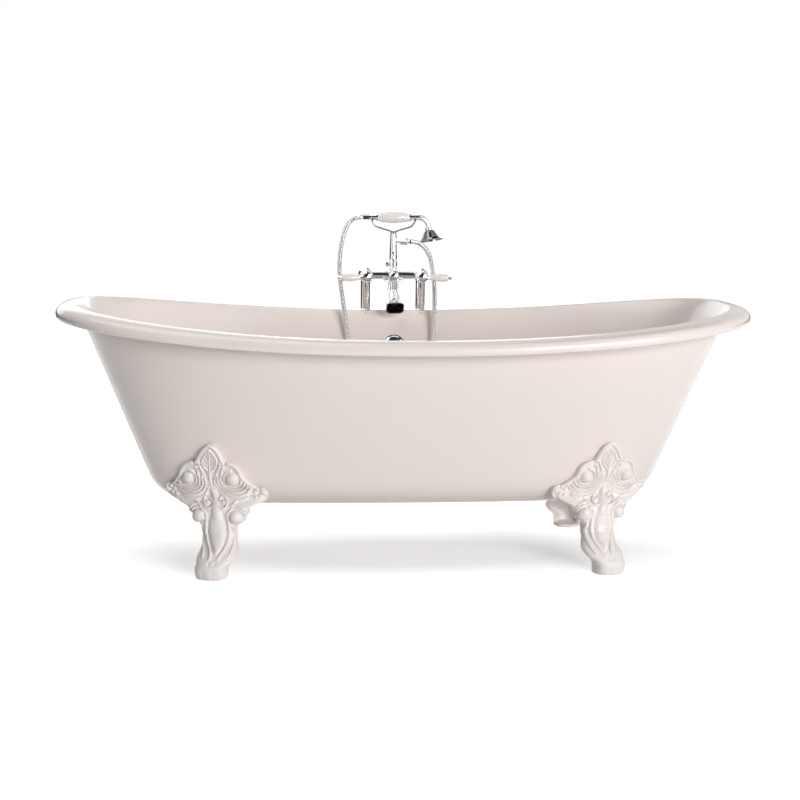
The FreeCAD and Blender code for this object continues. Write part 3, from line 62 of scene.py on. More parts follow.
class Graph:
    """A node tree that is filled in one node at a time."""

    def __init__(self, tree):
        self.tree = tree
        self.tree.nodes.clear()

    def feed(self, socket, value):
        """Links the socket to an output, or gives it a fixed value."""
        if isinstance(value, bpy.types.NodeSocket):
            self.tree.links.new(value, socket)
        else:
            socket.default_value = value

    def add(self, kind, inputs=None, **settings):
        node = self.tree.nodes.new(kind)
        for name, value in settings.items():
            setattr(node, name, value)
        for name, value in (inputs or {}).items():
            self.feed(node.inputs[name], value)
        return node

    def noise(self, place, scale, detail=2.0, roughness=0.5):
        inputs = {"Vector": place, "Scale": scale, "Detail": detail, "Roughness": roughness}
        return self.add("ShaderNodeTexNoise", inputs).outputs["Fac"]

    def spread(self, value, low, high):
        """A value that runs from 0 to 1, carried to run from low to high."""
        inputs = {"Value": value, "To Min": low, "To Max": high}
        return self.add("ShaderNodeMapRange", inputs).outputs["Result"]

    def band(self, value, low, high):
        """0 where the value is below low, 1 where it is above high."""
        inputs = {"Value": value, "From Min": low, "From Max": high}
        return self.add("ShaderNodeMapRange", inputs).outputs["Result"]

    def mix(self, share, first, second):
        node = self.add("ShaderNodeMix", data_type="RGBA")
        sockets = {s.identifier: s for s in node.inputs}
        for name, value in (("Factor_Float", share), ("A_Color", first), ("B_Color", second)):
            self.feed(sockets[name], value)
        return next(s for s in node.outputs if s.identifier == "Result_Color")

    def combine(self, kind, first, second):
        node = self.add("ShaderNodeMath", {0: first, 1: second}, operation=kind)
        return node.outputs["Value"]

    def bump(self, height, strength, distance):
        inputs = {"Height": height, "Strength": strength, "Distance": distance}
        return self.add("ShaderNodeBump", inputs).outputs["Normal"]

    def place(self):
        return self.add("ShaderNodeTexCoord").outputs["Object"]


def shared_effect(name, inputs, outputs, fill):
    """A node group with named sockets. fill gets the graph and its inputs and returns the outputs."""
    tree = bpy.data.node_groups.new(name, "ShaderNodeTree")
    graph = Graph(tree)
    for label, kind, value in inputs:
        socket = tree.interface.new_socket(label, in_out="INPUT", socket_type=kind)
        socket.default_value = value
    for label, kind in outputs:
        tree.interface.new_socket(label, in_out="OUTPUT", socket_type=kind)
    source = graph.add("NodeGroupInput")
    results = fill(graph, source.outputs)
    graph.add("NodeGroupOutput", results)
    return tree


def fill_cast_skin(graph, given):
    """Slow cloudiness of fired enamel, and the faint dimples of the casting under it."""
    place = graph.place()
    cloud = graph.noise(place, scale=3.0, detail=3.0)
    speck = graph.noise(place, scale=90.0)
    dimple = graph.noise(place, scale=26.0, detail=1.0)
    tint = graph.combine("MULTIPLY", graph.spread(cloud, low=-1.0, high=1.0), given["Cloud"])
    height = graph.combine("ADD", graph.combine("MULTIPLY", dimple, given["Dimple"]),
                           graph.combine("MULTIPLY", speck, SPECK_SHARE))
    return {"Share": graph.combine("ADD", tint, EVEN_SHARE), "Height": height}


cast_skin = shared_effect(
    "cast skin",
    [("Cloud", "NodeSocketFloat", 0.5), ("Dimple", "NodeSocketFloat", 1.0)],
    [("Share", "NodeSocketFloat"), ("Height", "NodeSocketFloat")],
    fill_cast_skin,
)


def fill_handling(graph, given):
    """Dried water and wiping marks, as a share of dullness."""
    place = graph.place()
    wipe = graph.noise(place, scale=14.0, detail=4.0, roughness=0.6)
    spots = graph.band(graph.noise(place, scale=160.0, detail=1.0), low=0.62, high=0.72)
    dull = graph.combine("ADD", graph.band(wipe, low=0.35, high=0.75),
                         graph.combine("MULTIPLY", spots, SPOT_SHARE))
    return {"Dull": graph.combine("MULTIPLY", dull, given["Amount"])}


handling = shared_effect(
    "handling marks",
    [("Amount", "NodeSocketFloat", 1.0)],
    [("Dull", "NodeSocketFloat")],
    fill_handling,
)


# Materials

ENAMEL_MARKS = 0.5
ENAMEL_DULLING = 0.08
COAT_ROUGHNESS = 0.12
METAL_MARKS = 1.0


def material(name):
    made = bpy.data.materials.new(name)
    made.use_nodes = True
    return made, Graph(made.node_tree)


def finish_material(graph, inputs):
    shader = graph.add("ShaderNodeBsdfPrincipled", inputs)
    graph.add("ShaderNodeOutputMaterial", {"Surface": shader.outputs["BSDF"]})


def handling_marks(graph, amount):
    return graph.add("ShaderNodeGroup", {"Amount": amount}, node_tree=handling).outputs["Dull"]


def enamel(name, light, dark, gloss, cloud, dimple, coat):
    made, graph = material(name)
    skin = graph.add("ShaderNodeGroup", {"Cloud": cloud, "Dimple": dimple}, node_tree=cast_skin).outputs
    dull = handling_marks(graph, ENAMEL_MARKS)
    finish_material(graph, {
        "Base Color": graph.mix(skin["Share"], dark, light),
        "Roughness": graph.spread(dull, gloss, gloss + ENAMEL_DULLING),
        "Normal": graph.bump(skin["Height"], strength=0.06, distance=0.002),
        "Coat Weight": coat,
        "Coat Roughness": COAT_ROUGHNESS,
    })
    return made


def polished_metal(name, light, dark, gloss, dulled):
    made, graph = material(name)
    dull = handling_marks(graph, METAL_MARKS)
    finish_material(graph, {
        "Base Color": graph.mix(dull, light, dark),
        "Metallic": 1.0,
        "Roughness": graph.spread(dull, gloss, dulled),
    })
    return made


def rubber(name, dark, light):
    made, graph = material(name)
    dust = graph.noise(graph.place(), scale=60.0, detail=3.0)
    finish_material(graph, {
        "Base Color": graph.mix(dust, dark, light),
        "Roughness": graph.spread(dust, low=0.5, high=0.75),
    })
    return made


materials = {
    "bath_enamel": enamel(
        "cream bath enamel", light=(0.86, 0.783, 0.737, 1), dark=(0.84, 0.758, 0.712, 1),
        gloss=0.22, cloud=0.5, dimple=1.0, coat=0.3),
    "foot_enamel": enamel(
        "cream foot enamel", light=(0.87, 0.825, 0.8, 1), dark=(0.85, 0.8, 0.77, 1),
        gloss=0.34, cloud=0.6, dimple=1.4, coat=0.0),
    "chrome": polished_metal(
        "polished chrome", light=(0.92, 0.92, 0.93, 1), dark=(0.84, 0.84, 0.85, 1),
        gloss=0.04, dulled=0.13),
    "hose_chrome": polished_metal(
        "hose chrome", light=(0.84, 0.83, 0.83, 1), dark=(0.72, 0.71, 0.71, 1),
        gloss=0.08, dulled=0.18),
    "white_ceramic": enamel(
        "white ceramic", light=(0.87, 0.83, 0.81, 1), dark=(0.85, 0.805, 0.785, 1),
        gloss=0.16, cloud=0.3, dimple=0.4, coat=0.4),
    "seal_rubber": rubber(
        "black rubber", dark=(0.018, 0.018, 0.018, 1), light=(0.045, 0.044, 0.042, 1)),
    "bolt_steel": polished_metal(
        "zinc plate", light=(0.56, 0.56, 0.57, 1), dark=(0.42, 0.42, 0.43, 1),
        gloss=0.3, dulled=0.5),
    "plain_brass": polished_metal(
        "plain brass", light=(0.7, 0.56, 0.3, 1), dark=(0.5, 0.38, 0.19, 1),
        gloss=0.24, dulled=0.42),
}

# Chrome with a base colour darker than real chrome: painted shade and dark reflections for the two pieces
# that look darkest, the cradle and the rose bell
painted_shade_chrome = {
    "cradle_fork": polished_metal(
        "cradle chrome with painted shade", light=(0.36, 0.355, 0.35, 1), dark=(0.28, 0.275, 0.27, 1),
        gloss=0.08, dulled=0.18),
    "rose_bell": polished_metal(
        "rose chrome with painted shade", light=(0.22, 0.21, 0.205, 1), dark=(0.16, 0.155, 0.15, 1),
        gloss=0.06, dulled=0.16),
}
# Near-black metal: painted shade for the inside of the spout's mouth and the grooves of the hose
painted_shade_metal = polished_metal(
    "near-black metal for painted shade", light=(0.055, 0.05, 0.047, 1), dark=(0.03, 0.028, 0.027, 1),
    gloss=0.35, dulled=0.6)


# Pieces made of points and faces

def piece(name, points, faces, slot):
    mesh = bpy.data.meshes.new(name)
    mesh.from_pydata([tuple(p) for p in points], [], faces)
    mesh.polygons.foreach_set("use_smooth", [True] * len(mesh.polygons))
    mesh.update()
    mesh.materials.append(materials[slot])
    thing = bpy.data.objects.new(name, mesh)
    bpy.context.scene.collection.objects.link(thing)
    return thing


def band_faces(rows, count, wrap):
    """Faces between closed rings of count points; wrap joins the last ring to the first."""
    faces = []
    for r in range(rows if wrap else rows - 1):
        low = r * count
        high = (r + 1) % rows * count
        for i in range(count):
            j = (i + 1) % count
            faces.append((low + i, low + j, high + j, high + i))
    return faces


def softer(rows, steps):
    """Rows of points with steps - 1 more between each two, on a smooth curve through them all."""
    rows = np.asarray(rows)
    padded = np.concatenate([2 * rows[:1] - rows[1:2], rows, 2 * rows[-1:] - rows[-2:-1]])
    out = []
    for i in range(1, len(rows)):
        a, b, c, d = padded[i - 1:i + 3]
        first = (c - a) / 2
        last = (d - b) / 2
        for t in np.arange(steps) / steps:
            out.append((2 * t ** 3 - 3 * t ** 2 + 1) * b + (t ** 3 - 2 * t ** 2 + t) * first
                       + (3 * t ** 2 - 2 * t ** 3) * c + (t ** 3 - t ** 2) * last)
    out.append(rows[-1])
    return out


def full_turn(count):
    """Angles of count points, evenly round a ring."""
    return np.arange(count) * 2 * math.pi / count


def oval(turn, half_long, half_wide, power):
    """Points of an oval that gets squarer as the power grows."""
    c = np.cos(turn)
    s = np.sin(turn)
    k = (abs(c) ** power + abs(s) ** power) ** (1 / power)
    return half_long * c / k, half_wide * s / k


def distance_passed(spots):
    """Distance from the first spot to each one, along the line through them."""
    steps = np.linalg.norm(np.diff(spots, axis=0), axis=1)
    return np.concatenate([[0], np.cumsum(steps)])


# Bath shell, ring by ring as it was cast, in millimetres

MM = 0.001
PLAN_POWER = 2.95
CREST_LONG = 805
CREST_WIDE = 355
CREST_HEIGHT = 578
CREST_RISE = 56
RISE_POWER = 2.1
WALL_SLOPE = math.radians(68)
WALL = 8
WALL_SETBACK = 17
WALL_TOP = 38
FLAT_LONG = 540
FLAT_WIDE = 103
UNDERSIDE = 147
FLOOR_ROUND = 105
# The roll of the rim: each pair is a share of its reach outward and of its depth
ROLL_REACH = 45
ROLL_DEPTH = 32
ROLL = ((0.25, 0.01), (0.5, 0.05), (0.72, 0.13), (0.87, 0.25), (0.96, 0.42), (1.0, 0.66), (0.97, 0.9))
# From the outer wall's top into the hollow of the roll: outward and below the roll's skin
INTO_ROLL = ((0.5, 14), (3, 6), (8, 2), (15, 0.3))
# The lip at the roll's lower edge: a share of its reach, and above its lowest level
LIP_INSIDE = (0.84, 0.6)
LIP_OUTSIDE = ((0.86, 0), (0.925, 0.7))
WASTE = (0, 52)
WASTE_BORE = 26
ROUND_STEPS = 10
BEND_STEPS = 8
WALL_RINGS = 9
FLOOR_RINGS = 5
INSIDE_ROLL_STEPS = 3
OUTSIDE_ROLL_STEPS = 4
BATH_CREASE = math.radians(50)
AROUND = full_turn(256)


def on_plan(half_long, half_wide):
    return oval(AROUND, half_long, half_wide, PLAN_POWER)


def crest_height(share):
    """Height of the rim's crest at a share of the way from mid length to an end."""
    return CREST_HEIGHT + CREST_RISE * share ** RISE_POWER


def rim_ring(out, drop):
    x, y = on_plan(CREST_LONG + out, CREST_WIDE + out)
    crest_x = on_plan(CREST_LONG, CREST_WIDE)[0]
    z = crest_height(abs(crest_x) / CREST_LONG) - drop
    return np.stack([x, y, z], axis=1)


def round_ring(angle, offset):
    radius = FLOOR_ROUND + offset
    grow = radius * math.sin(angle)
    x, y = on_plan(FLAT_LONG + grow, FLAT_WIDE + grow)
    z = UNDERSIDE + FLOOR_ROUND - radius * math.cos(angle)
    return np.stack([x, y, np.full_like(x, z)], axis=1)


def wall_top_ring(offset):
    return rim_ring(-WALL_SETBACK + offset / math.sin(WALL_SLOPE), WALL_TOP)


def between(first, last, count):
    """Rings spaced evenly from first to last, without the two themselves."""
    return [first + (last - first) * (i + 1) / (count + 1) for i in range(count)]


def waste_ring(height):
    x = WASTE[0] + WASTE_BORE * np.cos(AROUND)
    y = WASTE[1] + WASTE_BORE * np.sin(AROUND)
    return np.stack([x, y, np.full_like(x, height)], axis=1)


def under_rim():
    """Rings from the outer wall's top, through the hollow of the roll, to its lip."""
    rings = [wall_top_ring(0)]
    rings += [rim_ring(-WALL_SETBACK + out, WALL + down) for out, down in INTO_ROLL]
    hollow = (ROLL_REACH - WALL) / ROLL_REACH
    for out, down in ROLL:
        rings.append(rim_ring(out * ROLL_REACH * hollow, WALL + down * (ROLL_DEPTH - WALL)))
    out, up = LIP_INSIDE
    rings.append(rim_ring(ROLL_REACH * out * hollow, ROLL_DEPTH - up))
    return rings


def over_rim():
    """Rings from the lip, over the roll and its crest, to the inner wall's top."""
    rings = [rim_ring(ROLL_REACH * out, ROLL_DEPTH - up) for out, up in LIP_OUTSIDE]
    rings += [rim_ring(out * ROLL_REACH, down * ROLL_DEPTH) for out, down in reversed(ROLL)]
    rings.append(rim_ring(0, 0))
    inner = WALL_SETBACK + WALL / math.sin(WALL_SLOPE)
    bend = inner - WALL_TOP / math.tan(WALL_SLOPE)
    for k in range(1, BEND_STEPS):
        t = k / BEND_STEPS
        rings.append(rim_ring(-2 * t * (1 - t) * bend - t * t * inner, t * t * WALL_TOP))
    rings.append(wall_top_ring(-WALL))
    return rings


def bath_rings():
    angles = [WALL_SLOPE * k / ROUND_STEPS for k in range(ROUND_STEPS + 1)]
    outer_round = [round_ring(a, 0) for a in angles]
    inner_round = [round_ring(a, -WALL) for a in reversed(angles)]
    under = under_rim()
    over = over_rim()
    lower_waste = waste_ring(UNDERSIDE)
    upper_waste = waste_ring(UNDERSIDE + WALL)
    rings = [lower_waste] + between(lower_waste, outer_round[0], FLOOR_RINGS) + outer_round
    rings += between(outer_round[-1], under[0], WALL_RINGS)
    rings += softer(under, INSIDE_ROLL_STEPS) + softer(over, OUTSIDE_ROLL_STEPS)
    rings += between(over[-1], inner_round[0], WALL_RINGS) + inner_round
    rings += between(inner_round[-1], upper_waste, FLOOR_RINGS) + [upper_waste]
    return rings


def make_bath():
    rings = bath_rings()
    points = np.concatenate(rings) * MM
    bath = piece("enamelled_shell", points, band_faces(len(rings), len(AROUND), True), "bath_enamel")
    bath.data.set_sharp_from_angle(angle=BATH_CREASE)
    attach(bath, "bath")
    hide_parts("bath_shell")


# Feet: a cast skin with leaves and scrolls in relief, hollow behind, in millimetres

FEET = (("foot_back_right", 1, 1), ("foot_back_left", -1, 1),
        ("foot_front_right", 1, -1), ("foot_front_left", -1, -1))
FOOT_CENTRE = (476, 236)
FOOT_TURN = math.radians(15)
FOOT_GAP = 0.4
FOOT_SKIN = 11
EDGE_SKIN = 2
EDGE_ROUND = 7
FOOT_WALL = 9
FOOT_COLUMNS = 161
FOOT_ROWS = 250
FOOT_CREASE = math.radians(60)
# Half width and height of the foot's edge, from its tip to its sole
FOOT_EDGE = (
    (0, 313), (8, 311.5), (16, 306), (23, 297), (29, 286), (34, 275), (38, 267), (42, 264.5), (50, 266),
    (60, 263.5), (69, 257.5), (75, 248), (78, 239), (82, 230), (89, 221), (98, 212), (107, 205), (114, 202),
    (121, 203), (126, 199), (127, 192), (122, 184), (112, 177), (102, 173), (92, 171), (84, 168), (77, 163),
    (71, 156), (66, 149), (59, 140), (53, 133), (46, 123), (41, 114), (39, 104), (39.5, 92), (42, 78),
    (46, 66), (48, 56), (46.5, 47), (41.5, 38), (38, 30), (37.5, 20), (36.5, 8), (34.5, 0),
)
EDGE_STEPS = 12
TIP_HALF = 2.0
# How the grid's rows are spaced down the foot's middle, and how they bow from there to its edge
SIDEWAYS_FALL = 0.3
ROW_BOW = 1.6
# Heights between which the leg turns into the shield on the bath's wall
SHIELD_FROM, SHIELD_TO = 150, 220
WALL_LOW = UNDERSIDE + 12
INSET_TOP = 230
INSET_RUN = 60
LEG_TURN = math.radians(100)
LEG_POWER = 0.8
SWAY_HEIGHT = (0, 25, 40, 60, 80, 105, 150, 175, 200, 225, 265, 313)
SWAY = (0, 0, -8, -14, -11, -7, -6, 3, 14, 19, 16, 10)
LEG_HEIGHT = (0, 8, 22, 34, 45, 58, 75, 95, 110, 125, 141, 160, 190, 222, 313)
LEG_MIDDLE = (0, 2, 4, 4, -2, -13, -30, -43, -48, -51, -53, -55, -60, -70, -70)
LEG_HALF_DEPTH = (32, 35, 36, 35, 32, 29, 27, 27, 28, 30, 33, 34, 30, 24, 20)
# How the place of the bath's wall is closed in on
WALL_TRIES = 6
NEAREST_OUT, FARTHEST_OUT = -230.0, 60.0
HALVINGS = 40


def wall_half_axes(x, z, offset):
    """Half length and half width of the bath's outside at a height, grown by an offset."""
    radius = FLOOR_ROUND + offset
    low_z = UNDERSIDE + FLOOR_ROUND - radius * math.cos(WALL_SLOPE)
    low_grow = radius * math.sin(WALL_SLOPE)
    low_long = FLAT_LONG + low_grow
    low_wide = FLAT_WIDE + low_grow
    top_out = -WALL_SETBACK + offset / math.sin(WALL_SLOPE)
    cosine = np.clip((UNDERSIDE + FLOOR_ROUND - z) / radius, -1, 1)
    grow = radius * np.sqrt(1 - cosine ** 2)
    straight = z > low_z
    half_long = np.where(straight, low_long, FLAT_LONG + grow)
    for _ in range(WALL_TRIES):
        top_z = crest_height(np.minimum(abs(x) / half_long, 1)) - WALL_TOP
        share = (z - low_z) / (top_z - low_z)
        sloped = low_long + (CREST_LONG + top_out - low_long) * share
        half_long = np.where(straight, sloped, FLAT_LONG + grow)
    sloped = low_wide + (CREST_WIDE + top_out - low_wide) * share
    return half_long, np.where(straight, sloped, FLAT_WIDE + grow)


def foot_world(along, out):
    x = FOOT_CENTRE[0] + along * math.cos(FOOT_TURN) + out * math.sin(FOOT_TURN)
    y = FOOT_CENTRE[1] - along * math.sin(FOOT_TURN) + out * math.cos(FOOT_TURN)
    return x, y


def wall_out(along, z, offset):
    """How far out, in the foot's own frame, the bath's outside grown by an offset lies."""
    near = np.full(np.shape(along), NEAREST_OUT)
    far = np.full(np.shape(along), FARTHEST_OUT)
    for _ in range(HALVINGS):
        middle = (near + far) / 2
        x, y = foot_world(along, middle)
        half_long, half_wide = wall_half_axes(x, z, offset)
        inside = abs(x / half_long) ** PLAN_POWER + abs(y / half_wide) ** PLAN_POWER < 1
        near = np.where(inside, middle, near)
        far = np.where(inside, far, middle)
    return near


def smooth_step(value, low, high):
    """0 below low, 1 above high, and smooth between."""
    t = np.clip((value - low) / (high - low), 0, 1)
    return t * t * (3 - 2 * t)


def smooth_fall(value, low, high):
    """1 below low, 0 above high, and smooth between."""
    return smooth_step(-value, -high, -low)


def fuller(wave):
    """A sine or cosine with fuller shoulders, for the leg's section."""
    return np.sign(wave) * abs(wave) ** LEG_POWER


def foot_edge_rows():
    """Half width and height of the foot's edge at each row of its grid."""
    edge = np.array(softer(np.array(FOOT_EDGE, float), EDGE_STEPS))
    passed = distance_passed(edge)
    spots = np.linspace(0, passed[-1], FOOT_ROWS)
    half = np.interp(spots, passed, edge[:, 0])
    half[0] = TIP_HALF
    return half, np.interp(spots, passed, edge[:, 1])


def foot_sheet(inset):
    """Grid of points of the plain foot, in its own frame: its front, or its back at an inset."""
    half, side_z = foot_edge_rows()
    fall = abs(np.diff(side_z)) + SIDEWAYS_FALL * abs(np.diff(half))
    middle_z = side_z[0] * (1 - np.concatenate([[0], np.cumsum(fall)]) / fall.sum())
    q = np.linspace(-1, 1, FOOT_COLUMNS)[None, :]
    z = middle_z[:, None] + (side_z - middle_z)[:, None] * abs(q) ** ROW_BOW
    width = half[:, None] - inset * smooth_step(INSET_TOP - side_z, 0, INSET_RUN)[:, None]

    upper = smooth_step(z, SHIELD_FROM, SHIELD_TO)
    turn = q * LEG_TURN
    leg_along = width * fuller(np.sin(turn))
    plain = upper * width * q + (1 - upper) * leg_along
    along = plain + np.interp(z, SWAY_HEIGHT, SWAY)
    edge_room = (1 - abs(q)) * half[:, None]
    round_off = np.sqrt(1 - (1 - np.clip(edge_room / EDGE_ROUND, 0, 1)) ** 2)
    thick = EDGE_SKIN + (FOOT_SKIN - EDGE_SKIN) * round_off if inset == 0 else 0
    shield = wall_out(along, np.maximum(z, WALL_LOW), FOOT_GAP) + thick
    middle = np.interp(z, LEG_HEIGHT, LEG_MIDDLE)
    deep = np.interp(z, LEG_HEIGHT, LEG_HALF_DEPTH) - inset
    leg = middle + deep * fuller(np.cos(turn))
    out = upper * shield + (1 - upper) * leg
    out = np.where(z > WALL_LOW, np.maximum(out, wall_out(along, z, FOOT_GAP)), out)
    return np.stack([along, out, z], axis=2), plain, edge_room


# Relief of the feet: one half of a foot, from its middle line outward

ARC_POINTS = 14


def arc(spot, radius, start, end):
    angles = np.radians(np.linspace(start, end, ARC_POINTS))
    return [(spot[0] + radius * math.cos(t), spot[1] + radius * math.sin(t)) for t in angles]


VOLUTE = (54, 227)
SCROLL = (45, 141)
RIB_ROUNDNESS = 0.75
# Each rib is a line of points, its half width and its height
TOP_LEAF = (
    (((0, 301), (9, 292), (16, 281), (18, 269), (13, 257), (0, 243)), 3.2, 4.2),
    (((0, 296), (0, 243)), 2.6, 4.6),
    (((0, 268), (6, 289)), 2.0, 3.2),
    (((0, 260), (11, 281)), 2.0, 3.2),
    (((0, 252), (14, 271)), 2.0, 3.2),
)
STEM = (
    (((0, 244), (0, 220), (0, 190)), 3.4, 5.6),
    (((24, 258), (19, 248), (15, 236), (9, 219), (4, 203), (1, 192)), 3.0, 5.2),
    (((30, 248), (26, 236), (19, 220), (12, 206), (6, 194)), 2.8, 4.6),
)
VOLUTE_ARCS = (
    (arc(VOLUTE, 21, 100, 350), 3.2, 5.5),
    (arc(VOLUTE, 28.5, 150, 338), 3.2, 6.5),
    (arc(VOLUTE, 36, 166, 330), 3.2, 6.5),
    (arc(VOLUTE, 43.5, 186, 322), 3.2, 6.0),
    (arc(VOLUTE, 51, 206, 300), 3.2, 5.0),
)
KNEE = (
    (((0, 198), (0, 180), (0, 158)), 8.0, 8.5),
    (((0, 164), (0, 140)), 13.0, 7.5),
    (((9, 170), (13, 180), (20, 184), (27, 179), (28, 169), (23, 160), (15, 158), (10, 163)), 2.6, 6.0),
    (((50, 174), (42, 168), (36, 158), (32, 146), (32, 134)), 2.8, 5.0),
)
SCROLL_ARCS = (
    (arc(SCROLL, 20, 20, 190), 2.6, 4.4),
    (arc(SCROLL, 26, 20, 130), 2.6, 4.0),
)
INNER_FOLD = (((25, 146), (27.5, 126), (28, 105), (25, 86), (19, 70), (13, 58), (10, 47)), 3.6, 5.4)
OUTER_FOLD = (((37, 118), (38, 100), (37, 82), (34, 66), (30, 52)), 3.0, 3.6)
RIBS = TOP_LEAF + STEM + VOLUTE_ARCS + KNEE + SCROLL_ARCS + (INNER_FOLD,)
# Each knob is its middle, its radius and its height
LEAF_KNOBS = (((26, 266), 5.0, 5.6), ((33, 256), 5.2, 5.8))
WING_KNOB = ((118.5, 194), 7.5, 8.5)
WING_BEADS = tuple((spot, 4.4, 5.4) for spot in ((92, 205), (99, 196), (107, 200), (108, 187), (97, 184)))
EYE = ((19, 171), 6.0, 6.5)
KNOBS = LEAF_KNOBS + ((VOLUTE, 15.5, 14.0), WING_KNOB) + WING_BEADS + (EYE, (SCROLL, 15.5, 14))
# Raised edge of the shield
RIM_RISE = 4.6
RIM_HALF = 5
RIM_FROM, RIM_TO = 158, 172
# Tongue down the leg's front, with hair at its sides
TONGUE_RISE = 7.0
TONGUE_HEIGHT = (54, 62, 72, 86, 105, 125, 150)
TONGUE_HALF = (0.5, 6, 12, 17, 20, 18, 13)
TONGUE_STARTS = (55, 64)
TONGUE_ENDS = (128, 152)
HAIR_RISE = 0.7
HAIR_PITCH = 5.5
HAIR_SLANT = 0.9
HAIR_ON_ABOVE = 0.3
HAIR_ACROSS = (0.45, 0.8)
HAIR_STARTS = (60, 70)
# Beads along the inner fold
BEAD_MEAN, BEAD_SWING = 0.75, 0.25
BEAD_OUT = 33
BEAD_FROM, BEAD_TO = 66, 142
# Hoof
CUFF_RISE = 1.8
CUFF_ENDS = (30, 33)
CLEFT_DEEP = 2.8
CLEFT_HALF = 2.4
CLEFT_SPOT = (9, 44)
CLEFT_SLANT = 0.4
CLEFT_STARTS = (33, 38)
CLEFT_ENDS = (50, 56)
FACET_RISE = 1.2
FACET_WIDE = 24
FACET_ENDS = (24, 30)


def dome(along, z, spot, radius, height):
    share = ((along - spot[0]) ** 2 + (z - spot[1]) ** 2) / radius ** 2
    return height * np.sqrt(np.clip(1 - share, 0, 1))


def ridge(along, z, line, width, height):
    """A rounded rib along a line of points."""
    nearest = np.full(along.shape, np.inf)
    for (a0, z0), (a1, z1) in zip(line, line[1:]):
        da = a1 - a0
        dz = z1 - z0
        t = np.clip(((along - a0) * da + (z - z0) * dz) / (da * da + dz * dz), 0, 1)
        nearest = np.minimum(nearest, np.hypot(along - a0 - t * da, z - z0 - t * dz))
    return height * np.clip(1 - (nearest / width) ** 2, 0, 1) ** RIB_ROUNDNESS


def tongue_relief(a, z, half):
    tongue = TONGUE_RISE * np.sqrt(np.clip(1 - (a / half) ** 2, 0, 1))
    tongue = tongue * smooth_step(z, *TONGUE_STARTS) * smooth_fall(z, *TONGUE_ENDS)
    hair = HAIR_RISE * np.cos(2 * math.pi * (z + HAIR_SLANT * a) / HAIR_PITCH)
    hair = np.where(tongue > HAIR_ON_ABOVE, hair, 0)
    tongue += hair * smooth_step(a / half, *HAIR_ACROSS) * smooth_step(z, *HAIR_STARTS)
    return tongue * (z < TONGUE_ENDS[1])


def hoof_relief(a, z):
    cuff = CUFF_RISE * smooth_fall(z, *CUFF_ENDS)
    aside = abs(a - CLEFT_SPOT[0] - CLEFT_SLANT * (z - CLEFT_SPOT[1]))
    cleft = CLEFT_DEEP * np.clip(1 - (aside / CLEFT_HALF) ** 2, 0, 1)
    cleft = cleft * smooth_step(z, *CLEFT_STARTS) * smooth_fall(z, *CLEFT_ENDS)
    facet = FACET_RISE * abs(np.cos(a * math.pi / FACET_WIDE)) * smooth_fall(z, *FACET_ENDS)
    return cuff, cleft, facet


def foot_relief(along, z, edge_room):
    """Height of the leaves and scrolls over the plain foot. Both halves are alike."""
    a = abs(along)
    rim = np.clip(1 - ((edge_room - RIM_HALF) / RIM_HALF) ** 2, 0, 1)
    high = RIM_RISE * rim * smooth_step(z, RIM_FROM, RIM_TO)
    for line, width, height in RIBS:
        high = np.maximum(high, ridge(a, z, line, width, height))
    for spot, radius, height in KNOBS:
        high = np.maximum(high, dome(a, z, spot, radius, height))
    half = np.interp(z, TONGUE_HEIGHT, TONGUE_HALF)
    high = np.maximum(high, tongue_relief(a, z, half))
    bead = BEAD_MEAN + BEAD_SWING * np.cos(2 * math.pi * z / HAIR_PITCH)
    beaded = (a < BEAD_OUT) & (a > half + 1) & (z < BEAD_TO) & (z > BEAD_FROM)
    high = high * np.where(beaded, bead, 1)
    high = np.maximum(high, ridge(a, z, *OUTER_FOLD))
    cuff, cleft, facet = hoof_relief(a, z)
    return high + cuff - cleft + facet


# Bodies of the feet

SOLE_HALF = (33, 31)
SOLE_THICK = 9
SOLE_FLARE = 1.5
SOLE_AROUND = full_turn(40)
# The pad behind the knee that the bolt holds: along, out and up
BOLT_PAD = ((-22, 22), (-126, -30), (127, 138))
BOX_FACES = ((0, 2, 3, 1), (4, 5, 7, 6), (0, 1, 5, 4), (2, 6, 7, 3), (0, 4, 6, 2), (1, 3, 7, 5))


def grid_faces(rows, columns, start, flip):
    faces = []
    for r in range(rows - 1):
        for c in range(columns - 1):
            low = start + r * columns + c
            face = (low, low + columns, low + columns + 1, low + 1)
            faces.append(face[::-1] if flip else face)
    return faces


def box(along, out, z):
    return [(a, o, h) for h in z for o in out for a in along], BOX_FACES


def sole_plate():
    """Closed plate under the hollow leg."""
    count = len(SOLE_AROUND)
    points = []
    for z, grow in ((0, 0), (SOLE_THICK, SOLE_FLARE)):
        along = (SOLE_HALF[0] + grow) * fuller(np.cos(SOLE_AROUND))
        out = (SOLE_HALF[1] + grow) * fuller(np.sin(SOLE_AROUND))
        points += [(a, o, z) for a, o in zip(along, out)]
    faces = band_faces(2, count, False)
    faces.append(tuple(range(count))[::-1])
    faces.append(tuple(range(count, 2 * count)))
    return points, faces


def border(rows, columns):
    """Numbers of the points round the outside of a grid."""
    ring = list(range(columns))
    ring += [r * columns + columns - 1 for r in range(1, rows)]
    ring += [(rows - 1) * columns + c for c in range(columns - 2, -1, -1)]
    ring += [r * columns for r in range(rows - 2, 0, -1)]
    return ring


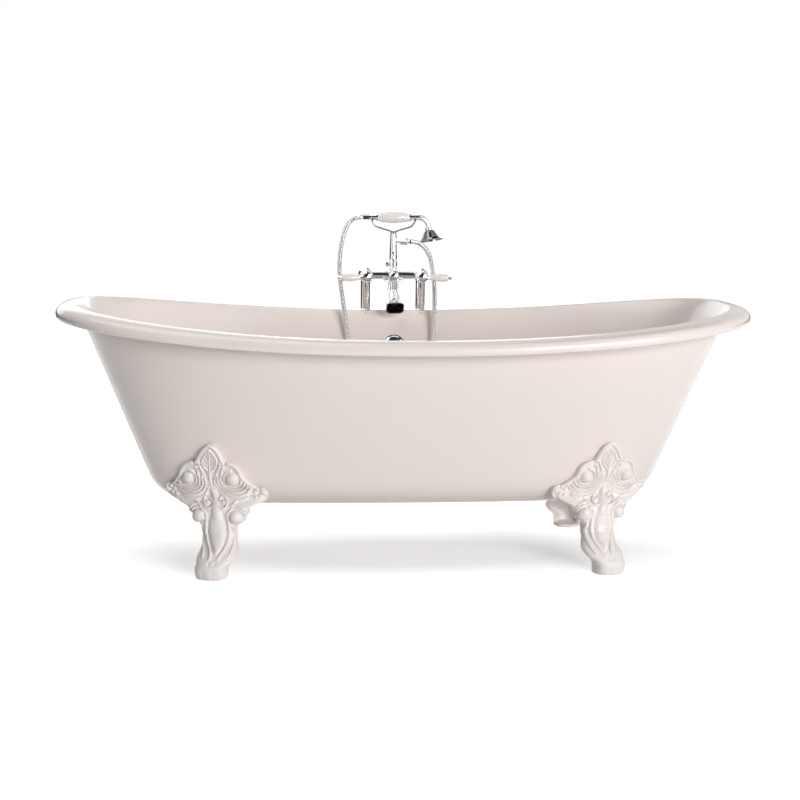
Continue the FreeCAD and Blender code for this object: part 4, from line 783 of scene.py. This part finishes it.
def foot_body():
    """Points and faces of one foot in its own frame: along, out and up."""
    front, plain, edge_room = foot_sheet(0)
    back = foot_sheet(FOOT_WALL)[0]
    across = np.gradient(front, axis=1)
    down = np.gradient(front, axis=0)
    normal = np.cross(across, down)
    normal /= np.maximum(np.linalg.norm(normal, axis=2), 1e-9)[..., None]
    relief = foot_relief(plain, front[..., 2], edge_room)
    front = front + normal * relief[..., None]
    front[..., 2] = np.maximum(front[..., 2], 0)
    count = FOOT_ROWS * FOOT_COLUMNS
    points = [tuple(p) for p in front.reshape(-1, 3)] + [tuple(p) for p in back.reshape(-1, 3)]
    faces = grid_faces(FOOT_ROWS, FOOT_COLUMNS, 0, False)
    faces += grid_faces(FOOT_ROWS, FOOT_COLUMNS, count, True)
    ring = border(FOOT_ROWS, FOOT_COLUMNS)
    for here, after in zip(ring, ring[1:] + ring[:1]):
        faces.append((here, after, after + count, here + count))
    for more_points, more_faces in (sole_plate(), box(*BOLT_PAD)):
        start = len(points)
        points += more_points
        faces += [tuple(start + i for i in face) for face in more_faces]
    return points, faces


def make_feet():
    points, faces = foot_body()
    for name, x_side, y_side in FEET:
        placed = []
        for along, out, z in points:
            x, y = foot_world(along, out)
            placed.append((x * x_side * MM, y * y_side * MM, z * MM))
        turned = x_side * y_side < 0
        foot = piece("cast_" + name, placed, [f[::-1] for f in faces] if turned else faces, "foot_enamel")
        foot.data.set_sharp_from_angle(angle=FOOT_CREASE)
        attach(foot, "bath")
        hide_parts(name)


# Waterway lining in the spout's mouth, near-black as painted shade, in millimetres

SPOUT_START = (355, 653)
SPOUT_MOUTH = (289, 589)
SPOUT_OUT_POWER = 1.9
SPOUT_FALL_POWER = 1.05
WATERWAY_START = 21.7
WATERWAY_MOUTH = (44.7, 34.7)
WATERWAY_FLARE = 1.3
WATERWAY_AROUND = full_turn(48)
WATERWAY_SOFTENING = 4
# Share of the way to the mouth, pitch in degrees and squareness
SPOUT_STEPS = ((0.5, 76, 2.2), (0.72, 62, 2.6), (0.88, 46, 3.2), (0.985, 35, 4))


def waterway_ring(share, pitch, power):
    y = SPOUT_START[0] - (SPOUT_START[0] - SPOUT_MOUTH[0]) * share ** SPOUT_OUT_POWER
    sunk = math.sin(share * math.pi / 2) ** SPOUT_FALL_POWER
    z = SPOUT_START[1] - (SPOUT_START[1] - SPOUT_MOUTH[1]) * sunk
    wide, tall = (WATERWAY_START + (end - WATERWAY_START) * share ** WATERWAY_FLARE
                  for end in WATERWAY_MOUTH)
    x, over = oval(WATERWAY_AROUND, wide / 2, tall / 2, power)
    a = math.radians(pitch)
    return np.stack([x, y - over * math.sin(a), z + over * math.cos(a)], axis=1)


def make_waterway():
    """Lining just inside the spout's own wall, closed at its far end; its near-black colour is painted
    shade.
    """
    count = len(WATERWAY_AROUND)
    rings = softer([waterway_ring(*step) for step in SPOUT_STEPS], WATERWAY_SOFTENING)
    faces = [face[::-1] for face in band_faces(len(rings), count, False)]
    faces.append(tuple(range(count)))
    lining = piece("spout_waterway_painted_shade", np.concatenate(rings) * MM, faces, "chrome")
    # The lining's near-black colour is painted shade inside the mouth
    lining.data.materials.clear()
    lining.data.materials.append(painted_shade_metal)
    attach(lining, "bath")


# Shower hose, in metres

HOSE_RADIUS = 0.007
HOSE_STRAIGHT = 4 * HOSE_RADIUS
HOSE_PLAIN_END = 2 * HOSE_RADIUS
PLAIN_SHARE = 0.9
HOSE_RIBS = 340
HOSE_AROUND = full_turn(16)
OUTLET_WAY = Vector((math.cos(math.radians(25)), -math.sin(math.radians(25)), 0))
OUTLET_REACH = 0.038
HOSE_START = Vector((-0.083, 0.363, 0.828))
HOSE_END = Vector((0, 0.363, 0.765)) + OUTLET_REACH * OUTLET_WAY
ROUTE_ORDER = 3
ROUTE_STEPS = 48
# One rib: a share of its pitch, and of the hose's radius
RIB = ((0.0, 0.8), (0.12, 0.95), (0.38, 1.0), (0.66, 0.95), (0.8, 0.8))
# Route between the two straight ends, in millimetres
HOSE_MIDDLE = (
    (-130, 357, 800), (-141, 347, 765), (-148, 333, 718), (-148, 323, 665), (-137, 318, 598),
    (-125, 302, 500), (-116, 262, 402), (-92, 229, 322), (-32, 213, 284), (38, 213, 284), (86, 230, 326),
    (99, 265, 410), (104, 303, 503), (111, 319, 600), (108, 321, 660), (102, 322, 694), (96, 323, 727),
    (81, 325, 752),
)


def hose_line():
    """Points along the hose, read from a smooth curve on its route."""
    route = [HOSE_START, HOSE_START + Vector((-HOSE_STRAIGHT, 0, 0))]
    route += [Vector(p) * MM for p in HOSE_MIDDLE]
    route += [HOSE_END + HOSE_STRAIGHT * OUTLET_WAY, HOSE_END]
    curve = bpy.data.curves.new("hose route", "CURVE")
    curve.dimensions = "3D"
    spline = curve.splines.new("NURBS")
    spline.points.add(len(route) - 1)
    for point, spot in zip(spline.points, route):
        point.co = (*spot, 1)
    spline.order_u = ROUTE_ORDER
    spline.use_endpoint_u = True
    spline.resolution_u = ROUTE_STEPS
    guide = bpy.data.objects.new("hose route", curve)
    mesh = bpy.data.meshes.new_from_object(guide)
    line = [v.co.copy() for v in mesh.vertices]
    bpy.data.objects.remove(guide)
    bpy.data.curves.remove(curve)
    bpy.data.meshes.remove(mesh)
    return line


def along_line(line, distances):
    """Spot and direction at each distance along a line of points."""
    spots = np.array(line)
    passed = distance_passed(spots)
    at = np.stack([np.interp(distances, passed, spots[:, k]) for k in range(3)], axis=1)
    ways = np.gradient(at, axis=0)
    return at, ways / np.linalg.norm(ways, axis=1)[:, None]


def line_length(line):
    return sum((b - a).length for a, b in zip(line, line[1:]))


def hose_profile(length):
    """Distance along the hose and share of its radius, ring by ring."""
    pitch = (length - 2 * HOSE_PLAIN_END) / HOSE_RIBS
    start = [(0.0, 1.0), (HOSE_PLAIN_END * PLAIN_SHARE, 1.0)]
    ribbed = [(HOSE_PLAIN_END + (i + step) * pitch, size) for i in range(HOSE_RIBS) for step, size in RIB]
    end = [(length - HOSE_PLAIN_END * PLAIN_SHARE, 1.0), (length, 1.0)]
    return start + ribbed + end, len(start)


def make_hose():
    line = hose_line()
    length = line_length(line)
    profile, first_rib = hose_profile(length)
    spots, ways = along_line(line, [p[0] for p in profile])
    side = np.array((0.0, 1.0, 0.0))
    count = len(HOSE_AROUND)
    points = []
    for spot, way, (_, size) in zip(spots, ways, profile):
        side = side - way * side.dot(way)
        side = side / np.linalg.norm(side)
        other = np.cross(way, side)
        for a in HOSE_AROUND:
            points.append(spot + HOSE_RADIUS * size * (side * math.cos(a) + other * math.sin(a)))
    faces = band_faces(len(profile), count, False)
    last = len(points)
    faces.append(tuple(range(count))[::-1])
    faces.append(tuple(range(last - count, last)))
    hose = piece("shower_hose", points, faces, "hose_chrome")
    # The grooves between the ribs get near-black metal: painted shade in the recesses
    hose.data.materials.append(painted_shade_metal)
    for i in range(HOSE_RIBS):
        groove = (first_rib + (i + 1) * len(RIB) - 1) * count
        for polygon in hose.data.polygons[groove:groove + count]:
            polygon.material_index = 1
    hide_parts("hose")
    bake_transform(hose)


make_bath()
make_feet()
make_waterway()
make_hose()

# The cradle and the rose bell get the chrome with painted shade and dark reflections
for name, node in nodes.items():
    node.data.materials.clear()
    node.data.materials.append(painted_shade_chrome.get(name, materials[slot_of[name]]))


# Floor, light and camera, in metres

FLOOR_HALF = 12.0
FLOOR_DARK = (0.73, 0.73, 0.73, 1)
FLOOR_LIGHT = (0.76, 0.76, 0.76, 1)
# The floor glows less in an oval under the bath, a painted shade over its real shadow: these scale the oval
# to a circle, with its middle a little to the front
PAINTED_SHADE_SCALE = (0.9, 3.0, 1.0)
PAINTED_SHADE_SHIFT = (0, 0.15, 0)
# Name, position, target, size and watts of each lamp
LAMPS = (
    ("key", (3.0, -5.9, 2.0), (0, 0, 0.45), (3.7, 2.6), 330),
    ("softbox overhead", (-0.9, 0.1, 3.1), (0.1, 0.0, 0.4), (2.8, 2.2), 30),
    ("fill behind", (-1.6, 5.6, 1.5), (0, 0, 0.35), (7.0, 2.8), 80),
)
CAMERA_SPOT = (-0.3647, -3.7095, 0.977)
CAMERA_YAW, CAMERA_PITCH, CAMERA_ROLL = 0.095, 0.1574, 0.012
SENSOR = 36
FOCAL_PIXELS = 1499.8
PICTURE_PIXELS = 800
FARTHEST_SEEN = 60


def look(position, target):
    way = Vector(target) - Vector(position)
    return way.to_track_quat("-Z", "Y").to_euler()


def area_light(name, position, target, size, power):
    lamp = bpy.data.lights.new(name, "AREA")
    lamp.shape = "RECTANGLE"
    lamp.size, lamp.size_y = size
    lamp.energy = power
    thing = bpy.data.objects.new(name, lamp)
    thing.location = position
    thing.rotation_euler = look(position, target)
    bpy.context.scene.collection.objects.link(thing)


def seen_directly(graph):
    """1 for what the camera, a mirror or glass looks at."""
    path = graph.add("ShaderNodeLightPath").outputs
    seen = graph.combine("MAXIMUM", path["Is Camera Ray"], path["Is Glossy Ray"])
    return graph.combine("MAXIMUM", seen, path["Is Transmission Ray"])


def sheet(name, corners, made):
    """A flat sheet with four corners."""
    mesh = bpy.data.meshes.new(name)
    mesh.from_pydata(corners, [], [(0, 1, 2, 3)])
    mesh.materials.append(made)
    thing = bpy.data.objects.new(name, mesh)
    bpy.context.scene.collection.objects.link(thing)
    return thing


def level(x_low, x_high, y_low, y_high, z):
    return [(x_low, y_low, z), (x_high, y_low, z), (x_high, y_high, z), (x_low, y_high, z)]


def facing_front(x_low, x_high, y, z_low, z_high):
    return [(x_low, y, z_low), (x_high, y, z_low), (x_high, y, z_high), (x_low, y, z_high)]


def facing_side(x, y_low, y_high, z_low, z_high):
    return [(x, y_low, z_low), (x, y_high, z_low), (x, y_high, z_high), (x, y_low, z_high)]


def make_floor():
    """Pale floor that glows to white around the bath and keeps the shadow under it, with a painted shade
    where its glow is weaker under the bath.
    """
    made, graph = material("pale floor")
    place = graph.place()
    grain = graph.noise(place, scale=5.0, detail=3.0)
    floor = graph.add("ShaderNodeBsdfDiffuse", {"Color": graph.mix(grain, FLOOR_DARK, FLOOR_LIGHT)})
    under = graph.add("ShaderNodeVectorMath", {0: place, 1: PAINTED_SHADE_SCALE, 2: PAINTED_SHADE_SHIFT},
                      operation="MULTIPLY_ADD").outputs["Vector"]
    away = graph.add("ShaderNodeVectorMath", {0: under}, operation="LENGTH").outputs["Value"]
    # Glow falls to 0.42 in the oval under the bath: painted shade on the floor
    strength = graph.spread(graph.band(away, low=0.35, high=1.05), low=0.42, high=1.0)
    glow = graph.add("ShaderNodeEmission", {"Color": WHITE, "Strength": strength})
    lit = graph.add("ShaderNodeAddShader", {0: floor.outputs["BSDF"], 1: glow.outputs["Emission"]})
    blend = graph.add("ShaderNodeMixShader", {
        "Fac": seen_directly(graph), 1: floor.outputs["BSDF"], 2: lit.outputs["Shader"]})
    graph.add("ShaderNodeOutputMaterial", {"Surface": blend.outputs["Shader"]})
    thing = sheet("floor", level(-FLOOR_HALF, FLOOR_HALF, -FLOOR_HALF, FLOOR_HALF, 0), made)


def make_world():
    """Soft light, strongest near the horizon and to the right, and plain white to look at."""
    world = bpy.data.worlds.new("studio")
    bpy.context.scene.world = world
    world.use_nodes = True
    graph = Graph(world.node_tree)
    way = graph.add("ShaderNodeTexCoord").outputs["Generated"]
    parts = graph.add("ShaderNodeSeparateXYZ", {"Vector": way}).outputs
    low_light = graph.spread(graph.band(parts["Z"], low=0.1, high=0.8), low=0.3, high=0.04)
    side_light = graph.spread(graph.band(parts["X"], low=-0.9, high=0.5), low=0.7, high=1.0)
    strength = graph.combine("MULTIPLY", low_light, side_light)
    light = graph.add("ShaderNodeBackground", {"Color": WHITE, "Strength": strength})
    white = graph.add("ShaderNodeBackground", {"Color": WHITE, "Strength": 1.0})
    blend = graph.add("ShaderNodeMixShader", {
        "Fac": seen_directly(graph), 1: light.outputs["Background"], 2: white.outputs["Background"]})
    graph.add("ShaderNodeOutputWorld", {"Surface": blend.outputs["Shader"]})


# Name, corners, darkest and lightest shade of each card
CARDS = (
    ("card behind the camera", facing_front(-2.7, 1.9, -6.0, 0.0, 8.0), 0.02, 0.06),
    ("card over the camera", level(-2.7, 1.9, -6, -0.9, 8), 0.02, 0.06),
    ("card behind the bath", facing_front(-3.4, 3.4, 3.2, 0.0, 0.86), 0.01, 0.04),
    ("card on the left", facing_side(-3.4, 0.2, 3.2, 0, 0.86), 0.01, 0.04),
    ("card on the right", facing_side(3.4, 0.2, 3.2, 0, 0.86), 0.01, 0.04),
    ("card over the rose", [(0.2, 0.36, 4.5), (5.0, 0.6, 4.5), (2.1, 4.7, 4.5), (0.16, 0.5, 4.5)],
     0.03, 0.07),
)


def dark_card(name, corners, low, high):
    """Black card that only shows in mirrors: it gives the chrome its dark edges and streaks."""
    made, graph = material(name)
    shade = graph.spread(graph.noise(graph.place(), scale=2.0), low, high)
    card = graph.add("ShaderNodeEmission", {"Color": WHITE, "Strength": shade})
    graph.add("ShaderNodeOutputMaterial", {"Surface": card.outputs["Emission"]})
    thing = sheet(name, corners, made)
    thing.visible_camera = False
    thing.visible_diffuse = False
    thing.visible_shadow = False


def make_camera():
    level_way = math.cos(CAMERA_PITCH)
    ahead = Vector((math.sin(CAMERA_YAW) * level_way, math.cos(CAMERA_YAW) * level_way,
                    -math.sin(CAMERA_PITCH)))
    right = Vector((math.cos(CAMERA_YAW), -math.sin(CAMERA_YAW), 0))
    up = right.cross(ahead)
    right_rolled = right * math.cos(CAMERA_ROLL) + up * math.sin(CAMERA_ROLL)
    up_rolled = up * math.cos(CAMERA_ROLL) - right * math.sin(CAMERA_ROLL)
    turn = Matrix((right_rolled, up_rolled, -ahead)).transposed().to_4x4()
    lens = bpy.data.cameras.new("camera")
    lens.sensor_width = SENSOR
    lens.lens = SENSOR * FOCAL_PIXELS / PICTURE_PIXELS
    lens.clip_end = FARTHEST_SEEN
    camera = bpy.data.objects.new("camera", lens)
    camera.matrix_world = Matrix.Translation(CAMERA_SPOT) @ turn
    bpy.context.scene.collection.objects.link(camera)
    bpy.context.scene.camera = camera


make_floor()
make_world()
for lamp in LAMPS:
    area_light(*lamp)
for card in CARDS:
    dark_card(*card)
make_camera()
bpy.context.scene.view_settings.view_transform = "Standard"
